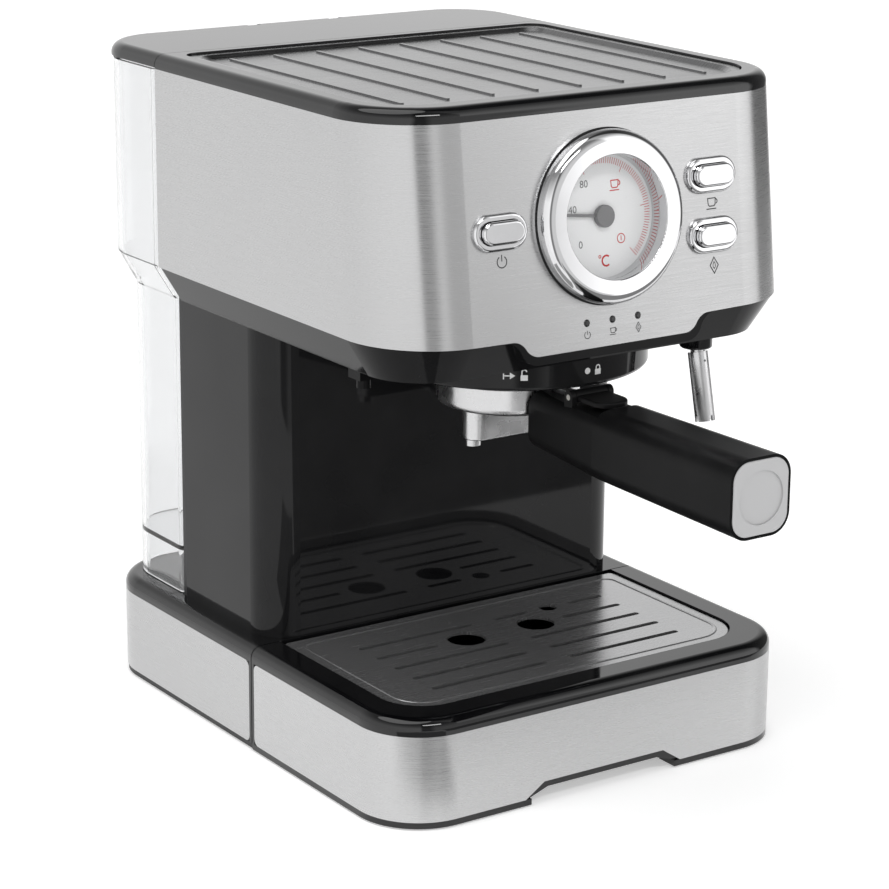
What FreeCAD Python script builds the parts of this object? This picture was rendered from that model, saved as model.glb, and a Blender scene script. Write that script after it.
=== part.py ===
import FreeCAD, Part
import math
import os
import Sketcher

# Espresso machine. Millimetres, +Z up. The front faces -Y, and the origin is on the surface that the
# machine stands on, under the middle of its base.

V = FreeCAD.Vector
NEAR = 1e-4

SIZES = {
    # whole body, without the portafilter handle
    "body_width": 210.0,
    "body_depth": 253.6,
    "body_height": 295.7,
    # sheet and wall thicknesses, and clearances
    "sheet": 1.2,
    "wall": 2.4,
    "gap": 0.35,
    "fit": 0.05,
    # base
    "base_height": 48.0,
    "skirt_foot": 0.8,
    "band_foot": 3.5,
    "band_height": 37.5,
    "front_radius": 29.0,
    "rear_radius": 30.0,
    "roll_radius": 5.0,
    "seam_strip": 1.8,
    "seam_width": 0.6,
    "seam_lead": 1.2,
    "panel_end_radius": 3.0,
    "foot_radius": 9.0,
    "foot_recess": 0.6,
    "foot_inset": 24.0,
    "tongue_inset": 21.0,
    "tongue_reach": 12.0,
    "plate_sheet": 2.5,
    # drip tray
    "tray_floor": 8.4,
    "grid_inset": 15.0,
    "grid_setback": 16.0,
    "grid_radius": 20.0,
    "grid_drop": 0.9,
    "grid_sheet": 1.3,
    "grid_rear": 2.6,
    "slot_inner": 5.8,
    "slot_margin": 24.5,
    "slot_width": 3.0,
    "slot_pitch": 14.1,
    "slot_first": 26.5,
    "drain_radius": 8.6,
    "drain_spread": 18.7,
    "pick_radius": 4.2,
    "pick_x": 35.5,
    "grip_low": 41.0,
    "grip_high": 31.5,
    "grip_rise": 9.8,
    # column, head and rear cover
    "tank_depth": 60.3,
    "column_depth": 75.7,
    "column_radius": 16.0,
    "cove_inset": 10.0,
    "cove_height": 16.0,
    "skin_height": 87.5,
    "frame_height": 6.2,
    "head_setback": 2.0,
    "head_radius": 36.0,
    "panel_lean": 6.9,
    "rim_height": 10.0,
    "tab_half": 37.0,
    "tab_run": 13.0,
    "tab_drop": 8.1,
    "shoulder_drop": 0.9,
    "lip": 3.5,
    "cover_sheet": 2.4,
    "boss_inset": 21.0,
    "boss_setback": 56.8,
    "boss_side": 9.0,
    "boss_drop": 7.0,
    "boss_pin": 3.0,
    "boss_pin_drop": 4.0,
    # cup-warming plate
    "warmer_side": 10.5,
    "warmer_front": 12.0,
    "warmer_rear": 4.5,
    "warmer_radius": 24.0,
    "warmer_lip": 6.0,
    "warmer_sink": 0.9,
    "warmer_dish": 1.6,
    "rib_pitch": 21.9,
    "rib_width": 1.8,
    "rib_rise": 0.7,
    "rib_front": 17.0,
    "rib_rear": 12.0,
    # group
    "group_reach": 42.7,
    "collar_radius": 60.0,
    "collar_drop": 12.6,
    "collar_edge": 1.5,
    "group_wall": 8.5,
    "group_drop": 18.3,
    "ledge": 4.7,
    "channel": 6.0,
    "channel_gap": 5.9,
    "ring_radius": 31.0,
    "ring_height": 22.4,
    "ring_floor": 3.0,
    "ring_wall": 4.0,
    "lug_half": 6.0,
    "lug_rise": 5.0,
    "lock_angle": 38.0,
    "gasket_inset": 5.4,
    "gasket_height": 5.8,
    "group_top": 4.0,
    "screen_inset": 5.7,
    "basket_inset": 4.8,
    "basket_sheet": 0.8,
    "basket_flange": 1.4,
    "basket_depth": 18.0,
    # spout
    "spout_half": 22.0,
    "spout_thick": 12.0,
    "spout_height": 13.5,
    "spout_gap": 1.6,
    "nozzle_x": 18.0,
    "nozzle_radius": 3.4,
    "nozzle_drop": 2.6,
    "nozzle_bore": 2.0,
    # handle
    "handle_drop": 22.85,
    "neck_width": 23.0,
    "neck_height": 25.0,
    "grip_width": 28.0,
    "grip_height": 30.5,
    "grip_start": 79.0,
    "handle_reach": 168.5,
    "end_width": 30.0,
    "end_height": 33.0,
    "handle_round": 9.0,
    "cap_border": 1.2,
    "cap_depth": 2.0,
    "dish_radius": 11.0,
    "dish_depth": 0.7,
    "clip_pivot": 58.0,
    "clip_rise": 3.4,
    "clip_barrel": 2.8,
    "clip_width": 16.0,
    "clip_length": 20.0,
    "clip_thick": 2.2,
    "clip_pin_radius": 1.2,
    "clip_ear": 2.4,
    # gauge
    "gauge_drop": 43.5,
    "bezel_radius": 35.5,
    "bezel_height": 7.0,
    "bezel_round": 4.5,
    "dial_radius": 25.2,
    "dial_sink": 3.3,
    "dial_sheet": 1.0,
    "gauge_body": 28.6,
    "gauge_depth": 17.0,
    "needle_hub": 4.6,
    "needle_length": 22.5,
    "needle_width": 1.5,
    "needle_angle": 173.0,
    "needle_shaft": 0.8,
    # buttons and lights, placed along the leaning panel from the gauge's middle
    "button_x": 53.5,
    "power_up": -0.5,
    "brew_up": 11.6,
    "steam_up": -13.3,
    "button_length": 20.0,
    "button_width": 9.2,
    "button_rise": 4.6,
    "button_travel": 1.5,
    "button_bezel": 2.9,
    "bezel_rise": 2.0,
    "button_sink": 4.0,
    "lights_rise": 10.5,
    "light_pitch": 13.0,
    "light_radius": 1.5,
    # steam
    "wand_x": 60.0,
    "wand_setback": 19.8,
    "wand_lean": 13.0,
    "wand_radius": 3.0,
    "wand_length": 33.0,
    "ball_radius": 5.5,
    "sleeve_radius": 4.3,
    "sleeve_start": 6.2,
    "sleeve_end": 36.0,
    "knob_setback": 84.8,
    "knob_rise": 55.0,
    "knob_radius": 19.0,
    "knob_height": 15.0,
    "stem_radius": 3.0,
    "valve_side": 24.0,
    # boiler and pump
    "boiler_radius": 40.0,
    "boiler_flange": 45.5,
    "boiler_height": 48.0,
    "boiler_cap": 22.0,
    "pump_rise": 44.0,
    "pump_radius": 11.0,
    "pump_half": 60.0,
    "coil_half": 23.0,
    "coil_side": 44.0,
    "hose_radius": 4.0,
    "hose_bore": 2.0,
    # tank
    "tank_wall": 2.2,
    "tank_front_radius": 4.0,
    "tank_lower_radius": 24.0,
    "tank_lower_inset": 2.8,
    "tank_rise": 22.0,
    "tank_gap": 0.5,
    "lid_gap": 0.5,
    "lid_overhang": 2.0,
    "lid_pin_radius": 1.0,
    "lid_pin_rise": 2.5,
    "ear_width": 6.0,
    "ear_x": 22.0,
    "port_depth": 30.0,
    "port_radius": 9.0,
    "socket_radius": 14.0,
}

doc = FreeCAD.newDocument("EspressoMachine")
sheet = doc.addObject("Spreadsheet::Sheet", "Dimensions")


# ---------------------------------------------------------------- sizes that carry their expression


class Size:
    """A number together with the expression that the document works it out from."""

    def __init__(self, value, text):
        self.value = float(value)
        self.text = text

    def __add__(self, other):
        return joined(self, "+", other, lambda a, b: a + b)

    def __sub__(self, other):
        return joined(self, "-", other, lambda a, b: a - b)

    def __mul__(self, other):
        return joined(self, "*", other, lambda a, b: a * b)

    def __truediv__(self, other):
        return joined(self, "/", other, lambda a, b: a / b)

    def __radd__(self, other):
        return size(other) + self

    def __rsub__(self, other):
        return size(other) - self

    def __rmul__(self, other):
        return size(other) * self

    def __neg__(self):
        return size(0) - self


def size(thing):
    if isinstance(thing, Size):
        return thing
    return Size(thing, "(%r)" % float(thing))


def joined(first, sign, second, work):
    second = size(second)
    return Size(work(first.value, second.value), "(%s %s %s)" % (first.text, sign, second.text))


def tangent(angle):
    return Size(math.tan(math.radians(angle.value)), "tan(%s * 1deg)" % angle.text)


def cosine(angle):
    return Size(math.cos(math.radians(angle.value)), "cos(%s * 1deg)" % angle.text)


def sine(angle):
    return Size(math.sin(math.radians(angle.value)), "sin(%s * 1deg)" % angle.text)


class Dimensions:
    """The spreadsheet's cells, one attribute for each alias."""


d = Dimensions()
for row, (alias, number) in enumerate(SIZES.items(), start=1):
    sheet.set("A%d" % row, alias)
    sheet.set("B%d" % row, repr(number))
    sheet.setAlias("B%d" % row, alias)
    setattr(d, alias, Size(number, "Dimensions." + alias))
doc.recompute()

# ---------------------------------------------------------------- places worked out from the sizes

HALF = d.body_width / 2
BACK = d.body_depth / 2
FRONT = -BACK
TANK_FRONT = BACK - d.tank_depth
COLUMN_FRONT = TANK_FRONT - d.column_depth
COLUMN_HALF = HALF - d.cove_inset
GRID_HALF = HALF - d.grid_inset
SLOT_OUTER = GRID_HALF - d.slot_margin
TONGUE_HALF = HALF - d.tongue_inset
WARMER_HALF = HALF - d.warmer_side
COVER_FRONT = TANK_FRONT - d.cover_sheet
GROUP_Y = COLUMN_FRONT - d.group_reach
SEAM = COLUMN_FRONT - d.seam_lead
BAND_TOP = d.band_foot + d.band_height
SKIN_TOP = d.body_height - d.frame_height
SKIN_BOTTOM = SKIN_TOP - d.skin_height
UNDERSIDE = SKIN_BOTTOM - d.cove_height
TAB_BOTTOM = SKIN_BOTTOM - d.tab_drop
GAUGE_Z = SKIN_TOP - d.gauge_drop
LIGHTS_DOWN = (GAUGE_Z - TAB_BOTTOM) / cosine(d.panel_lean) - d.lights_rise
TANK_TOP = SKIN_TOP - d.tank_gap
LID_BOTTOM = SKIN_TOP + d.lid_gap
TANK_FLOOR = d.base_height + d.tank_rise
PUMP_Z = d.base_height + d.pump_rise
HEAD_FRONT = FRONT + d.head_setback
KNOB_Y = HEAD_FRONT + d.knob_setback
WAND_Y = HEAD_FRONT + d.wand_setback
BOSS_X = d.boss_inset - HALF
BOSS_Y = HEAD_FRONT + d.boss_setback
LEAN = tangent(d.panel_lean)
GRID_TOP = d.base_height - d.grid_drop
COLLAR_BOTTOM = UNDERSIDE - d.collar_drop
GROUP_BOTTOM = UNDERSIDE - d.group_drop
LEDGE_TOP = GROUP_BOTTOM + d.ledge
CHANNEL_TOP = LEDGE_TOP + d.channel
GASKET_BOTTOM = CHANNEL_TOP - 0.2
GROUP_PLATE = GASKET_BOTTOM + d.gasket_height
BOILER_BOTTOM = UNDERSIDE + d.group_top
KNOB_Z = BOILER_BOTTOM + d.knob_rise
GROUP_RADIUS = d.ring_radius + d.group_wall
CHANNEL_RADIUS = d.ring_radius + d.channel_gap
LUG_REACH = d.ring_radius + d.lug_rise
GASKET_INNER = d.ring_radius - d.gasket_inset
SCREEN_RADIUS = d.ring_radius - d.screen_inset
BASKET_RADIUS = d.ring_radius - d.basket_inset
BASKET_TOP = GASKET_BOTTOM - d.gap
RING_TOP = BASKET_TOP - d.basket_flange
HANDLE_Z = RING_TOP - d.handle_drop
RING_BOTTOM = RING_TOP - d.ring_height
SPOUT_TOP = RING_BOTTOM - d.spout_gap
SPOUT_BOTTOM = SPOUT_TOP - d.spout_height
PUMP_Y = COLUMN_FRONT + d.column_depth / 2
PORT_Y = TANK_FRONT + d.port_depth
LID_BACK = BACK + d.lid_overhang
LID_PIN_Z = LID_BOTTOM + d.lid_pin_rise
NECK_TOP = HANDLE_Z + d.neck_height / 2
CLIP_Z = NECK_TOP + d.clip_rise
CLIP_Y = GROUP_Y - d.clip_pivot


def panel_y(height):
    """Where the leaning front panel's outer face is at this height."""
    return HEAD_FRONT + (height - SKIN_BOTTOM) * LEAN


# ---------------------------------------------------------------- drawing and feature helpers


def bind(item, name, amount):
    item.setExpression(name, size(amount).text)


def new_body(label):
    item = doc.addObject("PartDesign::Body", label)
    item.Label = label
    item.AllowCompound = True
    return item


def place(item, x=0, y=0, z=0):
    bind(item, "Placement.Base.x", x)
    bind(item, "Placement.Base.y", y)
    bind(item, "Placement.Base.z", z)
    return item


def turn(item, axis, angle):
    item.Placement = FreeCAD.Placement(V(0, 0, 0), FreeCAD.Rotation(axis, size(angle).value))
    bind(item, "Placement.Rotation.Angle", angle)
    return item


def on_panel(item):
    """Put a piece in the panel's frame: local Z out of the panel, local Y up along it."""
    turn(item, V(1, 0, 0), 90 - d.panel_lean)
    return place(item, 0, panel_y(GAUGE_Z), GAUGE_Z)


def sketch_on(item, plane, at=0):
    """A sketch on the body's own XY, XZ or YZ plane, moved to a coordinate along the third axis."""
    sketch = item.newObject("Sketcher::SketchObject", "Sketch")
    role = plane + "_Plane"
    support = [one for one in item.Origin.OriginFeatures if one.Role == role][0]
    sketch.AttachmentSupport = (support, [""])
    sketch.MapMode = "FlatFace"
    bind(sketch, "AttachmentOffset.Base.z", -size(at) if plane == "XZ" else size(at))
    return sketch


def moved(point, towards, distance):
    """The point moved by a distance along X or Y, whichever leads towards another point."""
    step_x = towards[0].value - point[0].value
    step_y = towards[1].value - point[1].value
    if abs(step_x) > abs(step_y):
        return (point[0] + distance * math.copysign(1, step_x), point[1])
    return (point[0], point[1] + distance * math.copysign(1, step_y))


def expand(corners):
    """Turn (x, y), (x, y, radius) and ("arc", x, y, radius, left) corners into points and arcs."""
    plain = [[size(part) for part in (one[1:3] if one[0] == "arc" else one[:2])] for one in corners]
    path = []
    for index, corner in enumerate(corners):
        here = plain[index]
        if corner[0] == "arc":
            path.append((here, (size(corner[3]), corner[4])))
        elif len(corner) < 3 or size(corner[2]).value < NEAR:
            path.append((here, None))
        else:
            before = plain[index - 1]
            after = plain[(index + 1) % len(plain)]
            start = moved(here, before, size(corner[2]))
            end = moved(here, after, size(corner[2]))
            cross = (here[0].value - before[0].value) * (after[1].value - here[1].value)
            cross -= (here[1].value - before[1].value) * (after[0].value - here[0].value)
            path.append((start, None))
            path.append((end, (size(corner[2]), cross > 0)))
    return path


def arc_between(start, end, radius, left):
    """An arc of the given radius that turns left, or right, from start to end."""
    chord = end - start
    middle = (start + end) / 2
    side = V(-chord.y, chord.x, 0) / chord.Length
    rise = math.sqrt(max(radius**2 - (chord.Length / 2) ** 2, 0))
    centre = middle + side * (rise if left else -rise)
    first, last = (start, end) if left else (end, start)
    begin = math.atan2(first.y - centre.y, first.x - centre.x)
    finish = math.atan2(last.y - centre.y, last.x - centre.x)
    if finish < begin:
        finish += 2 * math.pi
    return Part.ArcOfCircle(Part.Circle(centre, V(0, 0, 1), radius), begin, finish)


def distance_rule(rules, kind, index, end, amount):
    """Hold one point of one edge at a distance from the sketch's origin."""
    axis = -2 if kind == "DistanceX" else -1
    if amount.text == "(0.0)":
        rules.append((Sketcher.Constraint("PointOnObject", index, end, axis), None))
    else:
        rule = Sketcher.Constraint(kind, -1, 1, index, end, amount.value)
        rules.append((rule, amount))


def add_rules(sketch, rules):
    first = sketch.ConstraintCount
    sketch.addConstraint([rule for rule, amount in rules])
    for offset, (rule, amount) in enumerate(rules):
        if amount is not None:
            bind(sketch, "Constraints[%d]" % (first + offset), amount)


def draw(sketch, corners):
    """Draw one closed outline, each point held by its own two distances."""
    path = expand(corners)
    kept = []
    for point, bend in path:
        last = kept[-1][0] if kept else None
        if last and abs(last[0].value - point[0].value) + abs(last[1].value - point[1].value) < NEAR:
            continue
        kept.append((point, bend))
    first, last = kept[0], kept[-1]
    if abs(first[0][0].value - last[0][0].value) + abs(first[0][1].value - last[0][1].value) < NEAR:
        kept[0] = (first[0], last[1])
        kept.pop()
    count = len(kept)
    base = sketch.GeometryCount
    shapes = []
    ends = []
    rules = []
    for index in range(count):
        here = kept[index][0]
        there, bend = kept[(index + 1) % count]
        start = V(here[0].value, here[1].value, 0)
        end = V(there[0].value, there[1].value, 0)
        if bend is None:
            shapes.append(Part.LineSegment(start, end))
            ends.append((1, 2))
        else:
            shapes.append(arc_between(start, end, bend[0].value, bend[1]))
            ends.append((1, 2) if bend[1] else (2, 1))
            rules.append((Sketcher.Constraint("Radius", base + index, bend[0].value), bend[0]))
    for index in range(count):
        after = (index + 1) % count
        link = Sketcher.Constraint("Coincident", base + index, ends[index][1], base + after, ends[after][0])
        rules.append((link, None))
        for kind, amount in zip(("DistanceX", "DistanceY"), kept[index][0]):
            distance_rule(rules, kind, base + index, ends[index][0], amount)
    sketch.addGeometry(shapes, False)
    add_rules(sketch, rules)
    return sketch


def draw_circle(sketch, x, y, radius):
    index = sketch.GeometryCount
    x, y, radius = size(x), size(y), size(radius)
    sketch.addGeometry(Part.Circle(V(x.value, y.value, 0), V(0, 0, 1), radius.value), False)
    rules = [(Sketcher.Constraint("Radius", index, radius.value), radius)]
    for kind, amount in (("DistanceX", x), ("DistanceY", y)):
        distance_rule(rules, kind, index, 3, amount)
    add_rules(sketch, rules)
    return sketch


def block(x_min, x_max, y_min, y_max, front=0, rear=0):
    """A rectangle's corners, with one radius at its low-Y side and another at its high-Y side."""
    return [(x_min, y_min, front), (x_max, y_min, front), (x_max, y_max, rear), (x_min, y_max, rear)]


def stadium(x, y, length, width):
    """A slot's outline along X, about a middle point."""
    x, y = size(x), size(y)
    half, round_end = length / 2, width / 2
    return block(x - half, x + half, y - round_end, y + round_end, round_end, round_end)


def feature(item, kind, sketch):
    made = item.newObject("PartDesign::" + kind, kind)
    made.Profile = sketch
    return made


def pad(item, sketch, length):
    made = feature(item, "Pad", sketch)
    bind(made, "Length", length)
    return made


def pocket(item, sketch, depth, upward=False):
    """Cut against the sketch's normal, or along it, and make sure that it removes something."""
    doc.recompute()
    before = item.Shape.Volume
    made = feature(item, "Pocket", sketch)
    made.Reversed = upward
    bind(made, "Length", depth)
    doc.recompute()
    if not item.Shape.Volume < before:
        raise RuntimeError("a pocket in %s removes nothing" % item.Label)
    return made


def revolve(item, sketch):
    made = feature(item, "Revolution", sketch)
    made.ReferenceAxis = (sketch, ["V_Axis"])
    made.Angle = 360
    return made


def loft(item, kind, sketches):
    made = feature(item, kind, sketches[0])
    made.Sections = sketches[1:]
    made.Ruled = True
    return made


def around(item, made, sketch, count):
    """Repeat a feature about its sketch's normal."""
    doc.recompute()
    pattern = item.newObject("PartDesign::PolarPattern", "PolarPattern")
    pattern.Originals = [made]
    pattern.Axis = (sketch, ["N_Axis"])
    pattern.Angle = 360
    pattern.Occurrences = count
    item.Tip = pattern
    return pattern


def lies(edge, x=None, y=None, z=None):
    """Whether the whole edge lies at the given coordinates."""
    wanted = [(axis, size(amount).value) for axis, amount in enumerate((x, y, z)) if amount is not None]
    steps = [edge.FirstParameter + (edge.LastParameter - edge.FirstParameter) * k / 4 for k in range(5)]
    return all(abs(edge.valueAt(step)[axis] - amount) < NEAR for step in steps for axis, amount in wanted)


def fillet(item, radius, chosen):
    """Round the edges of the body so far that the test picks."""
    doc.recompute()
    base = item.Tip
    names = ["Edge%d" % (k + 1) for k, edge in enumerate(base.Shape.Edges) if chosen(edge)]
    made = item.newObject("PartDesign::Fillet", "Fillet")
    made.Base = (base, names)
    bind(made, "Radius", radius)
    return made


def primitive(kind, label):
    item = doc.addObject("Part::" + kind, label)
    item.Label = label
    return item


def box(label, x, y, z, length, width, height):
    """A box from its lowest corner."""
    item = primitive("Box", label)
    bind(item, "Length", length)
    bind(item, "Width", width)
    bind(item, "Height", height)
    return place(item, x, y, z)


def cylinder(label, x, y, z, radius, height, axis="Z"):
    item = primitive("Cylinder", label)
    bind(item, "Radius", radius)
    bind(item, "Height", height)
    if axis == "Y":
        item.Placement = FreeCAD.Placement(V(0, 0, 0), FreeCAD.Rotation(V(1, 0, 0), -90))
    if axis == "X":
        item.Placement = FreeCAD.Placement(V(0, 0, 0), FreeCAD.Rotation(V(0, 1, 0), 90))
    return place(item, x, y, z)


def cut(label, base, tool):
    item = primitive("Cut", label)
    item.Base = base
    item.Tool = tool
    return item


def fuse(label, *parts):
    item = primitive("MultiFuse", label)
    item.Shapes = list(parts)
    return item


def group(label, *parts):
    """Separate solids kept in one node."""
    item = primitive("Compound", label)
    item.Links = list(parts)
    return item


def pipe_route(points, bend):
    """Straight runs through the points, joined by tangent arcs."""
    edges = []
    start = points[0]
    for index in range(1, len(points) - 1):
        corner = points[index]
        arrive = (corner - points[index - 1]).normalize()
        leave = (points[index + 1] - corner).normalize()
        half_turn = arrive.getAngle(leave) / 2
        setback = bend * math.tan(half_turn)
        before = corner - arrive * setback
        after = corner + leave * setback
        inward = (leave - arrive).normalize()
        middle = corner + inward * (bend / math.cos(half_turn) - bend)
        edges.append(Part.LineSegment(start, before).toShape())
        edges.append(Part.Arc(before, middle, after).toShape())
        start = after
    edges.append(Part.LineSegment(start, points[-1]).toShape())
    return Part.Wire(edges)


def pipe_shape(places, outer, inner, bend):
    """A pipe along a route of (x, y, z) places."""
    points = [V(*[size(part).value for part in one]) for one in places]
    route = pipe_route(points, size(bend).value)
    direction = points[1] - points[0]
    shells = []
    for radius in (size(outer).value, size(inner).value):
        ring = Part.Wire(Part.Circle(points[0], direction, radius).toShape())
        shells.append(route.makePipeShell([ring], True, False))
    return shells[0].cut(shells[1])


def pipe(label, shape):
    """A bent pipe is set as a shape, because its route is worked out in space."""
    item = doc.addObject("Part::Feature", label)
    item.Label = label
    item.Shape = shape
    item.Placement = FreeCAD.Placement()
    return item


# ---------------------------------------------------------------- base


def base_outline(inset, y_min):
    return block(-(HALF - inset), HALF - inset, y_min, BACK - inset, 0, d.rear_radius - inset)


def base_shell():
    """Hollow rear block: inset behind the steel band, full width along the seam and over the top."""
    item = new_body("base_shell")
    start = SEAM + d.seam_width / 2
    pad(item, draw(sketch_on(item, "XY", d.band_foot), base_outline(d.sheet, start)), d.band_height)
    strip = block(-HALF, HALF, start, start + d.seam_strip)
    pad(item, draw(sketch_on(item, "XY", d.band_foot), strip), d.band_height)
    rise = d.base_height - BAND_TOP
    pad(item, draw(sketch_on(item, "XY", BAND_TOP), base_outline(0, start)), rise)
    fillet(item, d.roll_radius, lambda edge: lies(edge, z=d.base_height) and not lies(edge, y=start))
    hollow = base_outline(d.sheet + d.wall, start + d.wall)
    pocket(item, draw(sketch_on(item, "XY", d.band_foot), hollow), d.base_height - d.wall - d.band_foot, True)
    top = sketch_on(item, "XY", d.base_height)
    draw_circle(top, 0, PORT_Y, d.socket_radius + d.fit)
    draw_circle(top, -HOSE_X, PUMP_Y, d.hose_radius + d.gap)
    pocket(item, top, d.wall * 2)
    rear = sketch_on(item, "XZ", BACK - d.sheet - d.wall * 2)
    draw_circle(rear, GLAND_X, GLAND_Z, GLAND_RADIUS)
    pocket(item, rear, d.wall * 3)
    return item


def steel_band(label, outer, inner, end_y):
    """Thin wrap: an outline less an inner one, with the ends of its panels rounded."""
    item = new_body(label)
    pad(item, draw(sketch_on(item, "XY", d.band_foot), outer), d.band_height)
    pocket(item, draw(sketch_on(item, "XY", BAND_TOP), inner), d.band_height)

    def panel_end(edge):
        return lies(edge, y=end_y, z=d.band_foot) or lies(edge, y=end_y, z=BAND_TOP)

    fillet(item, d.panel_end_radius, panel_end)
    return item


def base_band():
    end = SEAM + d.seam_width / 2 + d.seam_strip
    item = steel_band("base_band", base_outline(0, end), base_outline(d.sheet, end - 1), end)
    rear = sketch_on(item, "XZ", BACK - d.sheet * 2)
    draw_circle(rear, GLAND_X, GLAND_Z, GLAND_RADIUS)
    pocket(item, rear, d.sheet * 3)
    return item


def foot_places():
    rear_x = HALF - d.foot_inset
    front_x = TONGUE_HALF - d.foot_radius - 2
    rear_y = BACK - d.foot_inset
    front_y = FRONT + d.foot_inset
    return [(-rear_x, rear_y), (rear_x, rear_y), (-front_x, front_y), (front_x, front_y)]


def base_plate():
    """Bottom plate; its tongue reaches forward under the tray and carries the front feet."""
    item = new_body("base_plate")
    start = SEAM + d.seam_width / 2
    bottom = d.band_foot - d.plate_sheet
    tongue = block(-TONGUE_HALF, TONGUE_HALF, FRONT + d.tongue_reach, start + 1)
    pad(item, draw(sketch_on(item, "XY", bottom), base_outline(0.4, start)), d.plate_sheet)
    pad(item, draw(sketch_on(item, "XY", bottom), tongue), d.plate_sheet)
    rail = 2.4
    for side in (-1, 1):
        edges = sorted((side * TONGUE_HALF, side * (TONGUE_HALF - rail)), key=lambda edge: edge.value)
        rib = block(edges[0], edges[1], FRONT + d.tongue_reach, start)
        pad(item, draw(sketch_on(item, "XY", d.band_foot), rib), d.tray_floor - d.band_foot - d.gap)
    under = sketch_on(item, "XY", bottom)
    for x, y in foot_places():
        draw_circle(under, x, y, d.foot_radius + d.fit)
    pocket(item, under, d.foot_recess, True)
    return item


def rubber_feet():
    height = d.band_foot - d.plate_sheet + d.foot_recess
    feet = [cylinder("foot", x, y, 0, d.foot_radius, height) for x, y in foot_places()]
    return group("rubber_feet", *feet)


def base_screws():
    """Pan screws that hold the bottom plate, one beside each foot."""
    made = []
    bottom = d.band_foot - d.plate_sheet
    for x, y in foot_places()[:2]:
        for reach in (-22, -60):
            made.append(cylinder("screw", x, y + reach, bottom - 0.6, 3.0, 0.6))
    return group("base_screws", *made)


def cord_gland():
    """Rubber ring round the mains inlet, through the rear wall."""
    depth = d.wall * 2 + d.sheet
    start = BACK - depth - 0.5
    ring = cylinder("gland_body", GLAND_X, start, GLAND_Z, GLAND_RADIUS - d.fit, depth + 0.5, "Y")
    flange = cylinder("gland_flange", GLAND_X, BACK, GLAND_Z, GLAND_RADIUS + 2.5, 2.0, "Y")
    bore = cylinder("gland_bore", GLAND_X, start - 1, GLAND_Z, 3.6, depth + 6, "Y")
    return cut("cord_gland", fuse("gland_solid", ring, flange), bore)


# ---------------------------------------------------------------- drip tray


def tray_outline(inset, rear):
    return block(-(HALF - inset), HALF - inset, FRONT + inset, rear, d.front_radius - inset)


def grip_outline(extra):
    """The finger notch at the bottom of the front."""
    low, high = d.grip_low + extra, d.grip_high + extra
    top = d.grip_rise + extra
    return [(-low, -1), (low, -1), (low, d.band_foot), (high, top), (-high, top), (-low, d.band_foot)]


def drip_tray():
    """Drawer tub: inset behind its steel band, with a rolled rim and a skirt that covers the tongue."""
    item = new_body("drip_tray")
    rear = SEAM - d.seam_width / 2
    pad(item, draw(sketch_on(item, "XY", d.band_foot), tray_outline(d.sheet, rear)), d.band_height)
    strip = block(-HALF, HALF, rear - d.seam_strip, rear)
    pad(item, draw(sketch_on(item, "XY", d.band_foot), strip), d.band_height)
    foot = sketch_on(item, "XY", d.skirt_foot)
    pad(item, draw(foot, tray_outline(0, rear)), d.band_foot - d.skirt_foot)
    pad(item, draw(sketch_on(item, "XY", BAND_TOP), tray_outline(0, rear)), d.base_height - BAND_TOP)
    fillet(item, d.roll_radius, lambda edge: lies(edge, z=d.base_height) and not lies(edge, y=rear))
    seat_depth = d.grid_drop + d.grid_sheet + d.gap
    room = 0.5
    seat = sketch_on(item, "XY", d.base_height)
    seat_front = FRONT + d.grid_setback - room
    draw(seat, block(-GRID_HALF - room, GRID_HALF + room, seat_front, rear + 1, d.grid_radius + room))
    pocket(item, seat, seat_depth)
    tub = sketch_on(item, "XY", d.base_height)
    tub_half = GRID_HALF - 3.0
    tub_front = FRONT + d.grid_setback + 3.0
    draw(tub, block(-tub_half, tub_half, tub_front, rear - d.wall, d.grid_radius - 3, d.roll_radius))
    pocket(item, tub, d.base_height - d.tray_floor - d.wall)
    under = sketch_on(item, "XY", d.skirt_foot)
    under_half = TONGUE_HALF + d.gap * 4
    under_front = FRONT + d.tongue_reach - d.gap * 4
    draw(under, block(-under_half, under_half, under_front, rear + 1))
    pocket(item, under, d.tray_floor - d.skirt_foot, True)
    notch = sketch_on(item, "XZ", FRONT - 1)
    draw(notch, grip_outline(-3.0))
    pocket(item, notch, d.tongue_reach)
    return item


def tray_band():
    rear = SEAM - d.seam_width / 2 - d.seam_strip
    item = steel_band("tray_band", tray_outline(0, rear), tray_outline(d.sheet, rear + 1), rear)
    notch = sketch_on(item, "XZ", FRONT - 1)
    draw(notch, grip_outline(0))
    pocket(item, notch, d.sheet * 4)
    return item


def slot_spans(row):
    """Where the slots of one row run along X; the first two rows make way for the drain holes."""
    side = SLOT_OUTER - d.slot_inner
    if row == 0:
        pick_gap = d.pick_radius + 7.0
        return [
            (-SLOT_OUTER, -d.slot_inner),
            (d.slot_inner, d.pick_x - pick_gap),
            (d.pick_x + pick_gap, d.slot_inner + side),
        ]
    if row == 1:
        clear = d.drain_spread + d.drain_radius + 6.0
        return [(-SLOT_OUTER, -clear), (clear, SLOT_OUTER)]
    return [(-SLOT_OUTER, -d.slot_inner), (d.slot_inner, SLOT_OUTER)]


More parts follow.
